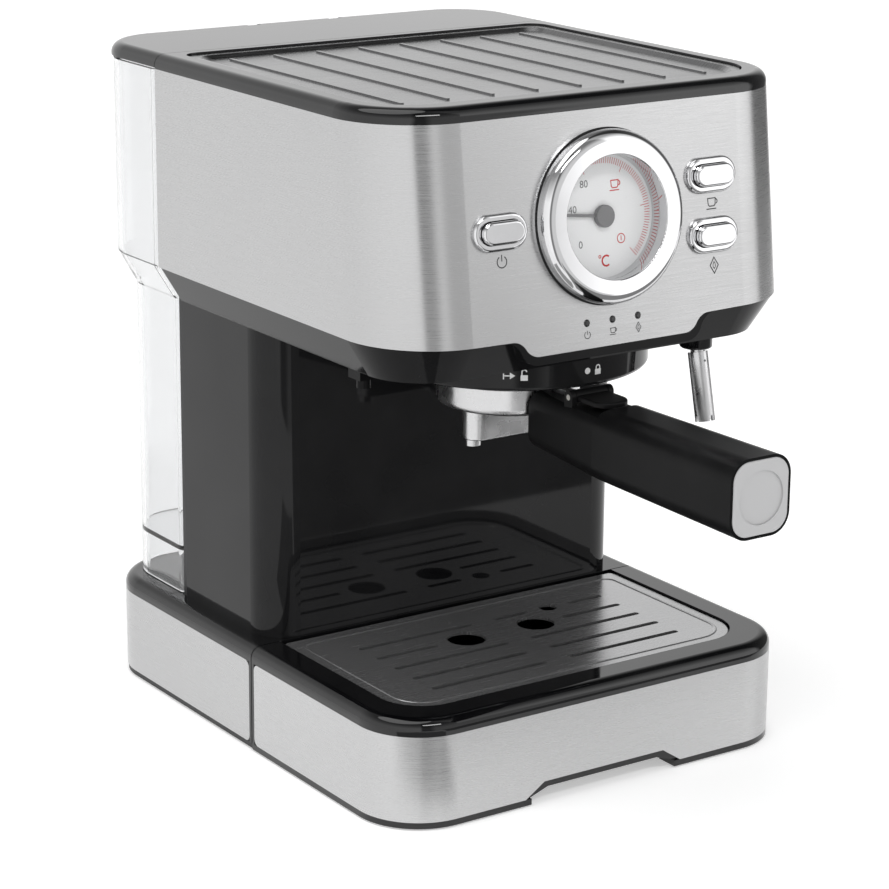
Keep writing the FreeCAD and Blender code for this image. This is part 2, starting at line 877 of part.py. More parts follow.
def drip_grid():
    """Steel plate with five rows of slots, two drain holes and a finger hole."""
    item = new_body("drip_grid")
    rear = SEAM - d.grid_rear / 2
    outline = block(-GRID_HALF, GRID_HALF, FRONT + d.grid_setback, rear, d.grid_radius, 3.0)
    pad(item, draw(sketch_on(item, "XY", GRID_TOP - d.grid_sheet), outline), d.grid_sheet)
    fillet(item, 0.6, lambda edge: lies(edge, z=GRID_TOP))
    first = COLUMN_FRONT - d.slot_first
    cuts = sketch_on(item, "XY", GRID_TOP)
    for row in range(5):
        y = first - d.slot_pitch * row
        for x_min, x_max in slot_spans(row):
            middle = (x_min + x_max) / 2
            draw(cuts, stadium(middle, y, x_max - x_min, d.slot_width))
    for side in (-1, 1):
        draw_circle(cuts, side * d.drain_spread, first - d.slot_pitch, d.drain_radius)
    draw_circle(cuts, d.pick_x, first, d.pick_radius)
    pocket(item, cuts, d.grid_sheet)
    return item


# ---------------------------------------------------------------- column, head and rear cover


def column_shell():
    """Gloss front and sides of the column, open to the rear."""
    item = new_body("column_shell")
    height = UNDERSIDE - d.base_height
    outer = block(-COLUMN_HALF, COLUMN_HALF, COLUMN_FRONT, COVER_FRONT, d.column_radius)
    pad(item, draw(sketch_on(item, "XY", d.base_height), outer), height)
    inner_half = COLUMN_HALF - d.wall
    inner = block(-inner_half, inner_half, COLUMN_FRONT + d.wall, COVER_FRONT + 1, d.column_radius - d.wall)
    pocket(item, draw(sketch_on(item, "XY", UNDERSIDE), inner), height)
    return item


def rear_cover():
    """Flat cover that closes the column and the head in front of the tank."""
    item = new_body("rear_cover")
    wide = HALF - d.sheet - d.fit
    corners = [
        (-COLUMN_HALF, d.base_height),
        (COLUMN_HALF, d.base_height),
        (COLUMN_HALF, SKIN_BOTTOM),
        (wide, SKIN_BOTTOM),
        (wide, SKIN_TOP),
        (-wide, SKIN_TOP),
        (-wide, SKIN_BOTTOM),
        (-COLUMN_HALF, SKIN_BOTTOM),
    ]
    pad(item, draw(sketch_on(item, "XZ", TANK_FRONT), corners), d.cover_sheet)
    return item


def head_section(item, height, inset, front, rear):
    """The head's outline at one height: leaning front, straight sides."""
    half = HALF - inset
    sketch = sketch_on(item, "XY", height)
    return draw(sketch, block(-half, half, front, rear, d.head_radius - inset))


def shoulder(sketch, side, x_start, z_start, x_end, z_end, reach, floor):
    """The ground under one shoulder of the front edge: a tab that rises in an S to the side."""
    run = x_end - x_start
    rise = z_end - z_start
    radius = (run * run + rise * rise) / (rise * 4)
    up = side > 0
    draw(
        sketch,
        [
            (side * x_start, z_start),
            ("arc", side * (x_start + run / 2), z_start + rise / 2, radius, up),
            ("arc", side * x_end, z_end, radius, not up),
            (side * reach, SKIN_BOTTOM if reach.value > HALF.value else z_end),
            (side * reach, floor),
            (side * x_start, floor),
        ],
    )


def skin_blank():
    """Steel wrap of the head before its holes: front panel and two sides, with the tab at the front."""
    item = new_body("skin_blank")
    outer = [head_section(item, z, 0, panel_y(z), TANK_FRONT) for z in (TAB_BOTTOM, SKIN_TOP)]
    loft(item, "AdditiveLoft", outer)
    inner = [
        head_section(item, z, d.sheet, panel_y(z) + d.sheet, TANK_FRONT + 1)
        for z in (TAB_BOTTOM, SKIN_TOP)
    ]
    loft(item, "SubtractiveLoft", inner)
    edge = sketch_on(item, "XZ", FRONT - 5)
    z_end = SKIN_BOTTOM - d.shoulder_drop
    for side in (-1, 1):
        shoulder(edge, side, d.tab_half, TAB_BOTTOM, d.tab_half + d.tab_run, z_end, HALF + 1, TAB_BOTTOM - 1)
    pocket(item, edge, d.body_depth)
    return item


def button_places():
    return [(-d.button_x, d.power_up), (d.button_x, d.brew_up), (d.button_x, d.steam_up)]


def light_places():
    return [(d.light_pitch * step, -LIGHTS_DOWN) for step in (-1, 0, 1)]


def panel_holes():
    """Tool that opens the front panel for the gauge, the buttons and the lights."""
    item = on_panel(new_body("panel_holes"))
    depth = BOARD_SINK + 2
    sketch = sketch_on(item, "XY", -depth)
    draw_circle(sketch, 0, 0, d.gauge_body + d.fit)
    for x, y in button_places():
        length = d.button_length + d.button_bezel + d.fit
        width = d.button_width + d.button_bezel + d.fit
        draw(sketch, stadium(x, y, length, width))
    for x, y in light_places():
        draw_circle(sketch, x, y, d.light_radius + d.fit)
    pad(item, sketch, depth * 2)
    return item


def head_skin(blank, holes):
    radius = d.stem_radius + d.gap
    side_hole = cylinder("stem_hole", HALF - d.sheet * 3, KNOB_Y, KNOB_Z, radius, d.sheet * 6, "X")
    return cut("head_skin", blank, fuse("skin_tools", holes, side_hole))


def head_shell(blank, holes):
    """Black lower shell: floor, cove, the rim behind the skin and the lip under the tab."""
    item = new_body("head_tray")
    rear = COVER_FRONT
    cove_front = HEAD_FRONT + d.cove_inset
    rim_top = SKIN_BOTTOM + d.rim_height
    low = head_section(item, UNDERSIDE, d.cove_inset, cove_front, rear)
    high = head_section(item, SKIN_BOTTOM, 0, HEAD_FRONT, rear)
    loft(item, "AdditiveLoft", [low, high])
    rim = [head_section(item, z, 0, panel_y(z), rear) for z in (SKIN_BOTTOM, rim_top)]
    loft(item, "AdditiveLoft", rim)
    floor = UNDERSIDE + d.wall
    hollow = [
        head_section(item, floor, d.cove_inset + d.wall, cove_front + d.wall, rear - d.wall),
        head_section(item, rim_top, d.sheet + d.wall, panel_y(rim_top) + d.sheet + d.wall, rear - d.wall),
    ]
    loft(item, "SubtractiveLoft", hollow)
    openings = sketch_on(item, "XY", floor)
    draw_circle(openings, 0, GROUP_Y, GROUP_RADIUS + d.gap)
    draw_circle(openings, d.wand_x, WAND_Y, NUT_RADIUS + d.fit)
    shaft_half = COLUMN_HALF - d.column_radius
    draw(openings, block(-shaft_half, shaft_half, COLUMN_FRONT + 8, rear - 8))
    pocket(item, openings, d.wall)

    tab = new_body("tab_backing")
    reach = d.tab_half + d.tab_run + 10
    lip_z = TAB_BOTTOM - d.lip
    behind = HEAD_FRONT + d.cove_inset - 1
    profile = [
        (panel_y(lip_z), lip_z),
        (panel_y(SKIN_BOTTOM + 1), SKIN_BOTTOM + 1),
        (behind, SKIN_BOTTOM + 1),
        (behind, lip_z),
    ]
    pad(tab, draw(sketch_on(tab, "YZ", -reach), profile), reach * 2)
    edge = sketch_on(tab, "XZ", FRONT - 5)
    x_end = d.tab_half + d.tab_run + d.lip
    for side in (-1, 1):
        shoulder(edge, side, d.tab_half + 1, lip_z, x_end, SKIN_BOTTOM - 1, reach + 1, lip_z - 1)
    pocket(tab, edge, 30)

    half_side = d.boss_side / 2
    boss = box(
        "boss_block", BOSS_X - half_side, BOSS_Y - half_side, UNDERSIDE - d.boss_drop,
        d.boss_side, d.boss_side, d.boss_drop + 1,
    )
    pin_z = UNDERSIDE - d.boss_drop - d.boss_pin_drop
    pin = cylinder("boss_pin", BOSS_X, BOSS_Y, pin_z, d.boss_pin, d.boss_pin_drop + 1)
    solid = fuse("shell_solid", item, tab, boss, pin)
    tools = fuse("shell_tools", blank, holes)
    return cut("head_shell", solid, tools)


def top_frame():
    """Gloss frame round the cup-warming plate, with a rolled outer edge."""
    item = new_body("top_frame")
    front = panel_y(SKIN_TOP)
    outer = block(-HALF, HALF, front, TANK_FRONT, d.head_radius)
    pad(item, draw(sketch_on(item, "XY", SKIN_TOP), outer), d.frame_height)
    fillet(item, d.roll_radius, lambda edge: lies(edge, z=d.body_height) and not lies(edge, y=TANK_FRONT))
    room = 0.3
    sink = d.warmer_sink + d.warmer_dish + d.sheet
    seat = warmer_outline(-room)
    pocket(item, draw(sketch_on(item, "XY", d.body_height), seat), sink)
    opening = warmer_outline(d.warmer_lip)
    pocket(item, draw(sketch_on(item, "XY", d.body_height), opening), d.frame_height)
    return item


def warmer_outline(inset):
    half = WARMER_HALF - inset
    front = panel_y(SKIN_TOP) + d.warmer_front + inset
    return block(-half, half, front, TANK_FRONT - d.warmer_rear - inset, d.warmer_radius - inset, 8.0)


def cup_plate():
    """Pressed steel tray with a raised border and eight ribs."""
    item = new_body("cup_plate")
    top = d.body_height - d.warmer_sink
    floor_top = top - d.warmer_dish
    bottom = floor_top - d.sheet
    pad(item, draw(sketch_on(item, "XY", bottom), warmer_outline(0)), top - bottom)
    dish = [
        draw(sketch_on(item, "XY", floor_top), warmer_outline(d.warmer_lip)),
        draw(sketch_on(item, "XY", top), warmer_outline(d.warmer_lip - 2)),
    ]
    loft(item, "SubtractiveLoft", dish)
    fillet(item, 0.6, lambda edge: lies(edge, z=top))
    ribs = sketch_on(item, "XY", floor_top)
    y_min = panel_y(SKIN_TOP) + d.warmer_front + d.rib_front
    y_max = TANK_FRONT - d.warmer_rear - d.rib_rear
    half = d.rib_width / 2
    for step in range(8):
        x = d.rib_pitch * (step - 3.5)
        draw(ribs, block(x - half, x + half, y_min, y_max, half, half))
    pad(item, ribs, d.rib_rise)
    return item


# ---------------------------------------------------------------- group and boiler


def turned(label, profile):
    """A piece turned about the group's upright axis; the profile is (radius, height)."""
    item = place(new_body(label), 0, GROUP_Y, 0)
    revolve(item, draw(sketch_on(item, "XZ"), profile))
    return item


def group_collar():
    """Ring round the group, cut flat where it meets the column."""
    inner = d.collar_radius - d.wall
    opening = GROUP_RADIUS + 1.5
    item = turned(
        "group_collar",
        [
            (opening, COLLAR_BOTTOM),
            (d.collar_radius, COLLAR_BOTTOM, d.collar_edge),
            (d.collar_radius, UNDERSIDE),
            (inner, UNDERSIDE),
            (inner, COLLAR_BOTTOM + d.wall),
            (opening, COLLAR_BOTTOM + d.wall),
        ],
    )
    reach = d.collar_radius + 1
    behind = sketch_on(item, "XY", UNDERSIDE)
    draw(behind, block(-reach, reach, d.group_reach - d.fit, reach))
    pocket(item, behind, d.collar_drop)
    return item


def group_head():
    """Cast ring with the ledge that the lugs ride on, cut away where the lugs come in."""
    bore = d.ring_radius + d.gap
    gasket_bore = d.ring_radius + 0.6
    item = turned(
        "group_head",
        [
            (bore, GROUP_BOTTOM),
            (GROUP_RADIUS, GROUP_BOTTOM, 1.0),
            (GROUP_RADIUS, BOILER_BOTTOM),
            (SCREW_RADIUS + d.fit, BOILER_BOTTOM),
            (SCREW_RADIUS + d.fit, GROUP_PLATE),
            (gasket_bore, GROUP_PLATE),
            (gasket_bore, CHANNEL_TOP),
            (CHANNEL_RADIUS, CHANNEL_TOP),
            (CHANNEL_RADIUS, LEDGE_TOP),
            (bore, LEDGE_TOP),
        ],
    )
    gates = sketch_on(item, "XY", LEDGE_TOP)
    half_gate = size(13.0)
    for base_angle in (0, 180):
        edges = [base_angle - d.lock_angle - half_gate, base_angle - d.lock_angle + half_gate]
        near, far = d.ring_radius - 3, CHANNEL_RADIUS + 0.4
        first, last = edges
        corners = [
            (cosine(first) * near, sine(first) * near),
            (cosine(first) * far, sine(first) * far),
            (cosine(last) * far, sine(last) * far),
            (cosine(last) * near, sine(last) * near),
        ]
        draw(gates, corners)
    pocket(item, gates, d.ledge)
    ways = sketch_on(item, "XY", BOILER_BOTTOM)
    draw_circle(ways, 10, 0, 1.5)
    hole = pocket(item, ways, BOILER_BOTTOM - GROUP_PLATE)
    around(item, hole, ways, 4)
    return item


def group_gasket():
    outer = d.ring_radius + 0.5
    profile = block(GASKET_INNER, outer, GASKET_BOTTOM, GROUP_PLATE)
    return turned("group_gasket", profile)


def shower_screen():
    top = GROUP_PLATE - 1.6
    item = turned("shower_screen", block(SCREW_RADIUS + d.fit, SCREEN_RADIUS, top - 1.0, top))
    for reach, count in ((8, 8), (14, 14), (20, 20)):
        holes = sketch_on(item, "XY", top)
        draw_circle(holes, reach, 0, 0.9)
        around(item, pocket(item, holes, 1.0), holes, count)
    return item


def shower_screw():
    """Pan screw that holds the shower screen, with a slot across its head."""
    top = GROUP_PLATE - 2.6
    shank = size(SCREW_RADIUS)
    low = top - 2.4
    pan = 4.2
    profile = [(0, low), (pan, low, 1.0), (pan, top), (shank, top), (shank, top + 6), (0, top + 6)]
    item = turned("shower_screw", profile)
    slot = sketch_on(item, "XY", low)
    draw(slot, block(-5, 5, -0.5, 0.5))
    pocket(item, slot, 1.0, True)
    return item


def boiler_body():
    """Cast water chamber with cooling-proof ribs outside, standing on the group head."""
    top = BOILER_BOTTOM + d.boiler_height
    flange = 5.0
    inner = d.boiler_radius - 5
    item = turned(
        "boiler_body",
        [
            (0, BOILER_BOTTOM),
            (d.boiler_radius, BOILER_BOTTOM, 2.0),
            (d.boiler_radius, top - flange),
            (d.boiler_flange, top - flange),
            (d.boiler_flange, top),
            (inner, top),
            (inner, BOILER_BOTTOM + 6),
            (0, BOILER_BOTTOM + 6),
        ],
    )
    bores = sketch_on(item, "XY", top)
    draw_circle(bores, BOLT_CIRCLE, 0, BOLT_RADIUS + d.fit)
    around(item, pocket(item, bores, flange), bores, 6)
    return item


def boiler_top():
    """Cover of the boiler with the cast-in heater ring and the steam port."""
    bottom = BOILER_BOTTOM + d.boiler_height
    item = turned(
        "boiler_top",
        [
            (0, bottom),
            (d.boiler_flange, bottom),
            (d.boiler_flange, bottom + 5),
            (36, bottom + 5),
            (36, bottom + d.boiler_cap, 3.0),
            (28, bottom + d.boiler_cap, 3.0),
            (28, bottom + 10),
            (0, bottom + 10),
        ],
    )
    port = sketch_on(item, "XY", bottom + 10)
    draw_circle(port, 18, 0, 4.0)
    pad(item, port, d.boiler_cap - 10)
    bores = sketch_on(item, "XY", bottom + 5)
    draw_circle(bores, BOLT_CIRCLE, 0, BOLT_RADIUS + d.fit)
    around(item, pocket(item, bores, 5), bores, 6)
    return item


def boiler_screws():
    bottom = BOILER_BOTTOM + d.boiler_height
    made = []
    for step in range(6):
        angle = size(60.0 * step)
        x = cosine(angle) * BOLT_CIRCLE
        y = GROUP_Y + sine(angle) * BOLT_CIRCLE
        shank = cylinder("bolt_shank", x, y, bottom - 5, BOLT_RADIUS, 10)
        head = cylinder("bolt_head", x, y, bottom + 5, BOLT_RADIUS + 1.0, 2.2)
        made.append(fuse("boiler_bolt", shank, head))
    return group("boiler_screws", *made)


def thermostats():
    """Two cut-out discs with terminals, clamped on the boiler's cover."""
    made = []
    z = BOILER_BOTTOM + d.boiler_height + 10
    for side in (-1, 1):
        disc = cylinder("cutout", -8, GROUP_Y + side * 13, z, 7.0, 6.0)
        tab = box("cutout_tab", -11, GROUP_Y + side * 13 - 0.4, z + 6, 6.0, 0.8, 6.0)
        made.append(fuse("thermostat", disc, tab))
    return group("thermostats", *made)


# ---------------------------------------------------------------- pump, hoses and steam line


def pump_body():
    """Vibrating pump: a stepped tube along X with a hose barb at each end."""
    barb = 14
    length = (d.pump_half - barb) * 2
    barrel = cylinder("pump_barrel", -d.pump_half + barb, PUMP_Y, PUMP_Z, d.pump_radius, length, "X")
    ends = []
    for side in (-1, 1):
        start = -d.pump_half if side < 0 else d.pump_half - barb
        ends.append(cylinder("pump_barb", start, PUMP_Y, PUMP_Z, d.hose_radius + 1, barb, "X"))
    return fuse("pump_body", barrel, *ends)


def pump_coil():
    """Square coil and yoke round the middle of the pump."""
    side = d.coil_side / 2
    length = d.coil_half * 2
    low_y = PUMP_Y - side
    low_z = PUMP_Z - side
    yoke = box("coil_yoke", -d.coil_half, low_y, low_z, length, d.coil_side, d.coil_side)
    bore = cylinder("coil_bore", -d.coil_half - 1, PUMP_Y, PUMP_Z, d.pump_radius + d.fit, length + 2, "X")
    return cut("pump_coil", yoke, bore)


def pump_mounts():
    """Two rubber blocks that carry the coil on the column's floor."""
    made = []
    top = PUMP_Z - d.coil_side / 2
    for side in (-1, 1):
        x = side * (d.coil_half - 7) - 6
        made.append(box("mount_block", x, PUMP_Y - 12, d.base_height, 12, 24, top - d.base_height))
    return group("pump_mounts", *made)


def suction_hose():
    low = d.band_foot + 16
    socket_bottom = d.base_height - SOCKET_HEIGHT
    places = [
        (0, PORT_Y, socket_bottom),
        (0, PORT_Y, low),
        (-HOSE_X, PUMP_Y, low),
        (-HOSE_X, PUMP_Y, PUMP_Z),
        (-d.pump_half, PUMP_Y, PUMP_Z),
    ]
    return pipe("suction_hose", pipe_shape(places, d.hose_radius, d.hose_bore, HOSE_SHORT))


def pressure_hose():
    side = HOSE_X
    height = BOILER_BOTTOM + d.boiler_height / 2
    boiler_back = GROUP_Y + d.boiler_radius
    places = [
        (d.pump_half, PUMP_Y, PUMP_Z),
        (side, PUMP_Y, PUMP_Z),
        (side - 18, PUMP_Y, height),
        (0, PUMP_Y, height),
        (0, boiler_back, height),
    ]
    return pipe("pressure_hose", pipe_shape(places, d.hose_radius, d.hose_bore, HOSE_SHORT))


def steam_valve():
    """Valve block on the right, in line with the knob's stem."""
    side = d.valve_side / 2
    x = HALF - 33
    block_shape = box("valve_block", x, KNOB_Y - side, KNOB_Z - side, 20, d.valve_side, d.valve_side)
    bore = cylinder("valve_bore", x + 4, KNOB_Y, KNOB_Z, d.stem_radius + 0.1, 20, "X")
    return cut("steam_valve", block_shape, bore)


def steam_pipes():
    """Two steel pipes: boiler to valve, and valve to wand."""
    outlet = 18
    port_z = BOILER_BOTTOM + d.boiler_height + d.boiler_cap
    over = port_z + 12
    under = UNDERSIDE + 26
    side = d.valve_side / 2
    x = HALF - 25
    first = [
        (outlet, GROUP_Y, port_z),
        (outlet, GROUP_Y, over),
        (x, KNOB_Y, over),
        (x, KNOB_Y, KNOB_Z + side),
    ]
    second = [
        (x, KNOB_Y, KNOB_Z - side),
        (x, KNOB_Y, under),
        (d.wand_x, WAND_Y, under),
        (d.wand_x, WAND_Y, UNDERSIDE + NUT_RISE),
    ]
    shapes = [pipe_shape(places, 2.2, 1.2, 6.0) for places in (first, second)]
    return pipe("steam_pipes", Part.makeCompound(shapes))


def steam_knob():
    """Side knob with a fluted rim; its stem reaches through the skin into the valve."""
    item = new_body("steam_knob")
    turn(item, V(0, 1, 0), 90)
    place(item, HALF, KNOB_Y, KNOB_Z)
    start = size(0.6)
    stem = d.stem_radius
    profile = [
        (0, -28),
        (stem, -28),
        (stem, start),
        (d.knob_radius, start),
        (d.knob_radius, start + d.knob_height, 2.5),
        (0, start + d.knob_height),
    ]
    revolve(item, draw(sketch_on(item, "XZ"), profile))
    flutes = sketch_on(item, "XY", start + d.knob_height)
    draw_circle(flutes, d.knob_radius + 3.2, 0, 4.0)
    around(item, pocket(item, flutes, d.knob_height - 2), flutes, 18)
    return item


def wand_nut():
    """Socket of the wand's ball, held in the head's floor."""
    item = place(new_body("wand_nut"), d.wand_x, WAND_Y, UNDERSIDE)
    bore = d.ball_radius + 0.3
    profile = [
        (4.9, -5.6),
        (NUT_RADIUS, -5.6, 1.0),
        (NUT_RADIUS, NUT_RISE),
        (0, NUT_RISE),
        (0, NUT_RISE - 1.5),
        (bore, NUT_RISE - 1.5),
        (bore, -4.2),
        (4.9, -4.2),
    ]
    revolve(item, draw(sketch_on(item, "XZ"), profile))
    return item


def wand_frame(label):
    """A body in the wand's frame: origin at its ball, local -Z down along the leaning tube."""
    item = turn(new_body(label), V(-1, 0, 0), d.wand_lean)
    return place(item, d.wand_x, WAND_Y, WAND_Z)


def steam_wand():
    item = wand_frame("steam_wand")
    ball = d.ball_radius
    halves = [(0, -ball), ("arc", ball, 0, ball, True), ("arc", 0, ball, ball, True)]
    revolve(item, draw(sketch_on(item, "XZ"), halves))
    tube = [(0, -d.wand_length), (d.wand_radius, -d.wand_length, 1.0), (d.wand_radius, -2), (0, -2)]
    revolve(item, draw(sketch_on(item, "XZ"), tube))
    bore = sketch_on(item, "XY", -d.wand_length)
    draw_circle(bore, 0, 0, 1.2)
    pocket(item, bore, d.wand_length - 6, True)
    return item


def froth_sleeve():
    """Steel sleeve that pulls off the wand, with four notches at its end and an air hole."""
    item = wand_frame("froth_sleeve")
    inner = d.wand_radius + 0.1
    profile = block(inner, d.sleeve_radius, -d.sleeve_end, -d.sleeve_start)
    revolve(item, draw(sketch_on(item, "XZ"), profile))
    notch = sketch_on(item, "XY", -d.sleeve_end)
    draw(notch, block(inner - 1, d.sleeve_radius + 1, -0.8, 0.8))
    around(item, pocket(item, notch, 2.4, True), notch, 4)
    air = sketch_on(item, "XZ", -d.sleeve_radius - 1)
    draw_circle(air, 0, -d.sleeve_start - 4, 0.5)
    pocket(item, air, d.sleeve_radius)
    return item


# ---------------------------------------------------------------- front panel


def panel_turned(label, profile):
    item = on_panel(new_body(label))
    revolve(item, draw(sketch_on(item, "XZ"), profile))
    return item


def gauge_bezel():
    spigot = d.dial_sink - 0.1
    return panel_turned(
        "gauge_bezel",
        [
            (d.dial_radius, -spigot),
            (d.gauge_body, -spigot),
            (d.gauge_body, 0),
            (d.bezel_radius, 0),
            (d.bezel_radius, d.bezel_height, d.bezel_round),
            (d.dial_radius, d.bezel_height, 0.5),
        ],
    )


def gauge_housing():
    front = -(d.dial_sink + d.dial_sheet)
    back = -d.gauge_depth
    return panel_turned(
        "gauge_housing",
        [
            (0, back),
            (d.gauge_body, back, 2.0),
            (d.gauge_body, front),
            (d.gauge_body - 1.2, front),
            (d.gauge_body - 1.2, back + 1.2),
            (0, back + 1.2),
        ],
    )


def gauge_dial():
    top = -d.dial_sink
    return panel_turned(
        "gauge_dial", block(d.needle_shaft + 0.1, d.gauge_body, top - d.dial_sheet, top)
    )


def gauge_glass():
    return panel_turned("gauge_glass", block(0, d.dial_radius - d.fit, 1.4, 2.4))


def gauge_needle():
    """Hub, shaft and a tapering blade that points to the needle's rest angle."""
    low = -d.dial_sink + 0.4
    item = panel_turned(
        "gauge_needle",
        [
            (0, -9),
            (d.needle_shaft, -9),
            (d.needle_shaft, low),
            (d.needle_hub, low),
            (d.needle_hub, low + 2.2, 0.6),
            (0, low + 2.2),
        ],
    )
    along = (cosine(d.needle_angle), sine(d.needle_angle))

    def blade_point(reach, aside):
        return (along[0] * reach - along[1] * aside, along[1] * reach + along[0] * aside)

    half = d.needle_width / 2
    tip = d.needle_length
    corners = [
        blade_point(0, -half),
        blade_point(tip, -half * 0.7),
        blade_point(tip, half * 0.7),
        blade_point(0, half),
    ]
    pad(item, draw(sketch_on(item, "XY", low + 0.5), corners), 0.6)
    return item


def button_bezels():
    """Three chrome stadium rings, each with a spigot through the panel."""
    item = on_panel(new_body("button_bezels"))
    spigot = sketch_on(item, "XY", -3)
    rim = sketch_on(item, "XY", 0)
    bore = sketch_on(item, "XY", d.bezel_rise)
    for x, y in button_places():
        draw(spigot, stadium(x, y, d.button_length + d.button_bezel, d.button_width + d.button_bezel))
        draw(rim, stadium(x, y, d.button_length + d.button_bezel * 2, d.button_width + d.button_bezel * 2))
        draw(bore, stadium(x, y, d.button_length + d.gap * 2, d.button_width + d.gap * 2))
    pad(item, spigot, 3)
    pad(item, rim, d.bezel_rise)
    rim_radius = 1.4
    fillet(item, rim_radius, lambda edge: on_level(item, edge, d.bezel_rise))
    pocket(item, bore, d.bezel_rise + 3)
    return item


def on_level(item, edge, height):
    """Whether an edge of a body's tip lies at a height in the body's own frame."""
    steps = (edge.FirstParameter, (edge.FirstParameter + edge.LastParameter) / 2, edge.LastParameter)
    return all(abs(edge.valueAt(step).z - size(height).value) < NEAR for step in steps)


def button(label, place_on_panel):
    x, y = place_on_panel
    item = on_panel(new_body(label))
    cap = sketch_on(item, "XY", -d.button_sink)
    draw(cap, stadium(x, y, d.button_length, d.button_width))
    pad(item, cap, d.button_sink + d.button_rise)
    fillet(item, 1.2, lambda edge: on_level(item, edge, d.button_rise))
    stem = sketch_on(item, "XY", -STEM_REACH)
    draw_circle(stem, x, y, 2.0)
    pad(item, stem, STEM_REACH - d.button_sink)
    return item


def button_switches():
    item = on_panel(new_body("button_switches"))
    bottom = -(STEM_REACH + d.button_travel + 9)
    sketch = sketch_on(item, "XY", bottom)
    for x, y in button_places():
        draw(sketch, block(x - 6, x + 6, y - 4, y + 4))
    pad(item, sketch, 8.6)
    return item


def indicator_lights():
    item = on_panel(new_body("indicator_lights"))
    sketch = sketch_on(item, "XY", -BOARD_SINK)
    for x, y in light_places():
        draw_circle(sketch, x, y, d.light_radius)
    pad(item, sketch, BOARD_SINK + 0.5)
    fillet(item, 0.7, lambda edge: on_level(item, edge, 0.5))
    return item


def control_board():
    """Circuit board behind the lights, with three chips on its back."""
    item = on_panel(new_body("control_board"))
    board = sketch_on(item, "XY", -BOARD_SINK - 1.6)
    draw(board, block(-32, 32, -LIGHTS_DOWN - 4, -LIGHTS_DOWN + 9))
    pad(item, board, 1.6)
    chips = sketch_on(item, "XY", -BOARD_SINK - 3.6)
    for x in (-20, 0, 20):
        draw(chips, block(x - 4, x + 4, -LIGHTS_DOWN - 1, -LIGHTS_DOWN + 5))
    pad(item, chips, 2)
    return item


# ---------------------------------------------------------------- portafilter


def portafilter_body():
    """Steel ring with a floor, two lugs and the boss that the handle screws on."""
    inner = d.ring_radius - d.ring_wall
    item = turned(
        "portafilter_body",
        [
            (OUTLET_RADIUS, RING_BOTTOM),
            (d.ring_radius, RING_BOTTOM, 3.0),
            (d.ring_radius, RING_TOP),
            (inner, RING_TOP),
            (inner, RING_BOTTOM + d.ring_floor),
            (OUTLET_RADIUS, RING_BOTTOM + d.ring_floor),
        ],
    )
    lug_z = LEDGE_TOP + d.gap
    lugs = sketch_on(item, "XY", lug_z)
    draw(lugs, block(d.ring_radius - 2, LUG_REACH, -d.lug_half, d.lug_half, 1.5, 1.5))
    around(item, pad(item, lugs, RING_TOP - lug_z), lugs, 2)
    neck = sketch_on(item, "XZ", -(d.ring_radius - 2))
    draw_circle(neck, 0, NECK_Z, NECK_RADIUS)
    pad(item, neck, 16)
    return item


def filter_basket():
    """Thin steel cup with a flange that rests on the ring, and a perforated floor."""
    bottom = BASKET_TOP - d.basket_depth
    inner = BASKET_RADIUS - d.basket_sheet
    item = turned(
        "filter_basket",
        [
            (0, bottom),
            (BASKET_RADIUS, bottom),
            (BASKET_RADIUS, RING_TOP),
            (d.ring_radius - 0.5, RING_TOP),
            (d.ring_radius - 0.5, BASKET_TOP),
            (inner, BASKET_TOP),
            (inner, bottom + d.basket_sheet),
            (0, bottom + d.basket_sheet),
        ],
    )
    for reach, count in ((6, 8), (12, 16), (18, 24)):
        holes = sketch_on(item, "XY", bottom + d.basket_sheet)
        draw_circle(holes, reach, 0, 0.7)
        around(item, pocket(item, holes, d.basket_sheet), holes, count)
    return item


def portafilter_spout():
    """Flat steel bar across the outlet with a nozzle near each end."""
    item = place(new_body("portafilter_spout"), 0, GROUP_Y, 0)
    bar = sketch_on(item, "XY", SPOUT_BOTTOM)
    draw(bar, stadium(0, 0, d.spout_half * 2, d.spout_thick))
    pad(item, bar, d.spout_height)
    fillet(item, 0.8, lambda edge: lies(edge, z=SPOUT_TOP) or lies(edge, z=SPOUT_BOTTOM))
    collar = sketch_on(item, "XY", SPOUT_TOP)
    draw_circle(collar, 0, 0, 12)
    pad(item, collar, d.spout_gap)
    screw_in = sketch_on(item, "XY", RING_BOTTOM)
    draw_circle(screw_in, 0, 0, OUTLET_RADIUS - d.fit)
    pad(item, screw_in, d.ring_floor)
    tips = sketch_on(item, "XY", SPOUT_BOTTOM - d.nozzle_drop)
    bores = sketch_on(item, "XY", SPOUT_BOTTOM - d.nozzle_drop)
    for side in (-1, 1):
        draw_circle(tips, side * d.nozzle_x, 0, d.nozzle_radius)
        draw_circle(bores, side * d.nozzle_x, 0, d.nozzle_bore)
    pad(item, tips, d.nozzle_drop)
    pocket(item, bores, d.nozzle_drop + 8, True)
    across = sketch_on(item, "YZ", -d.nozzle_x - 1)
    draw_circle(across, 0, SPOUT_BOTTOM + 7, 2.6)
    pocket(item, across, d.nozzle_x * 2 + 2, True)
    middle = sketch_on(item, "XY", RING_BOTTOM + d.ring_floor)
    draw_circle(middle, 0, 0, 3.5)
    pocket(item, middle, d.ring_floor + d.spout_gap + 6)
    return item


def handle_section(item, y, width, height, radius):
    half, rise = width / 2, height / 2
    outline = block(-half, half, HANDLE_Z - rise, HANDLE_Z + rise, radius, radius)
    return draw(sketch_on(item, "XZ", y), outline)


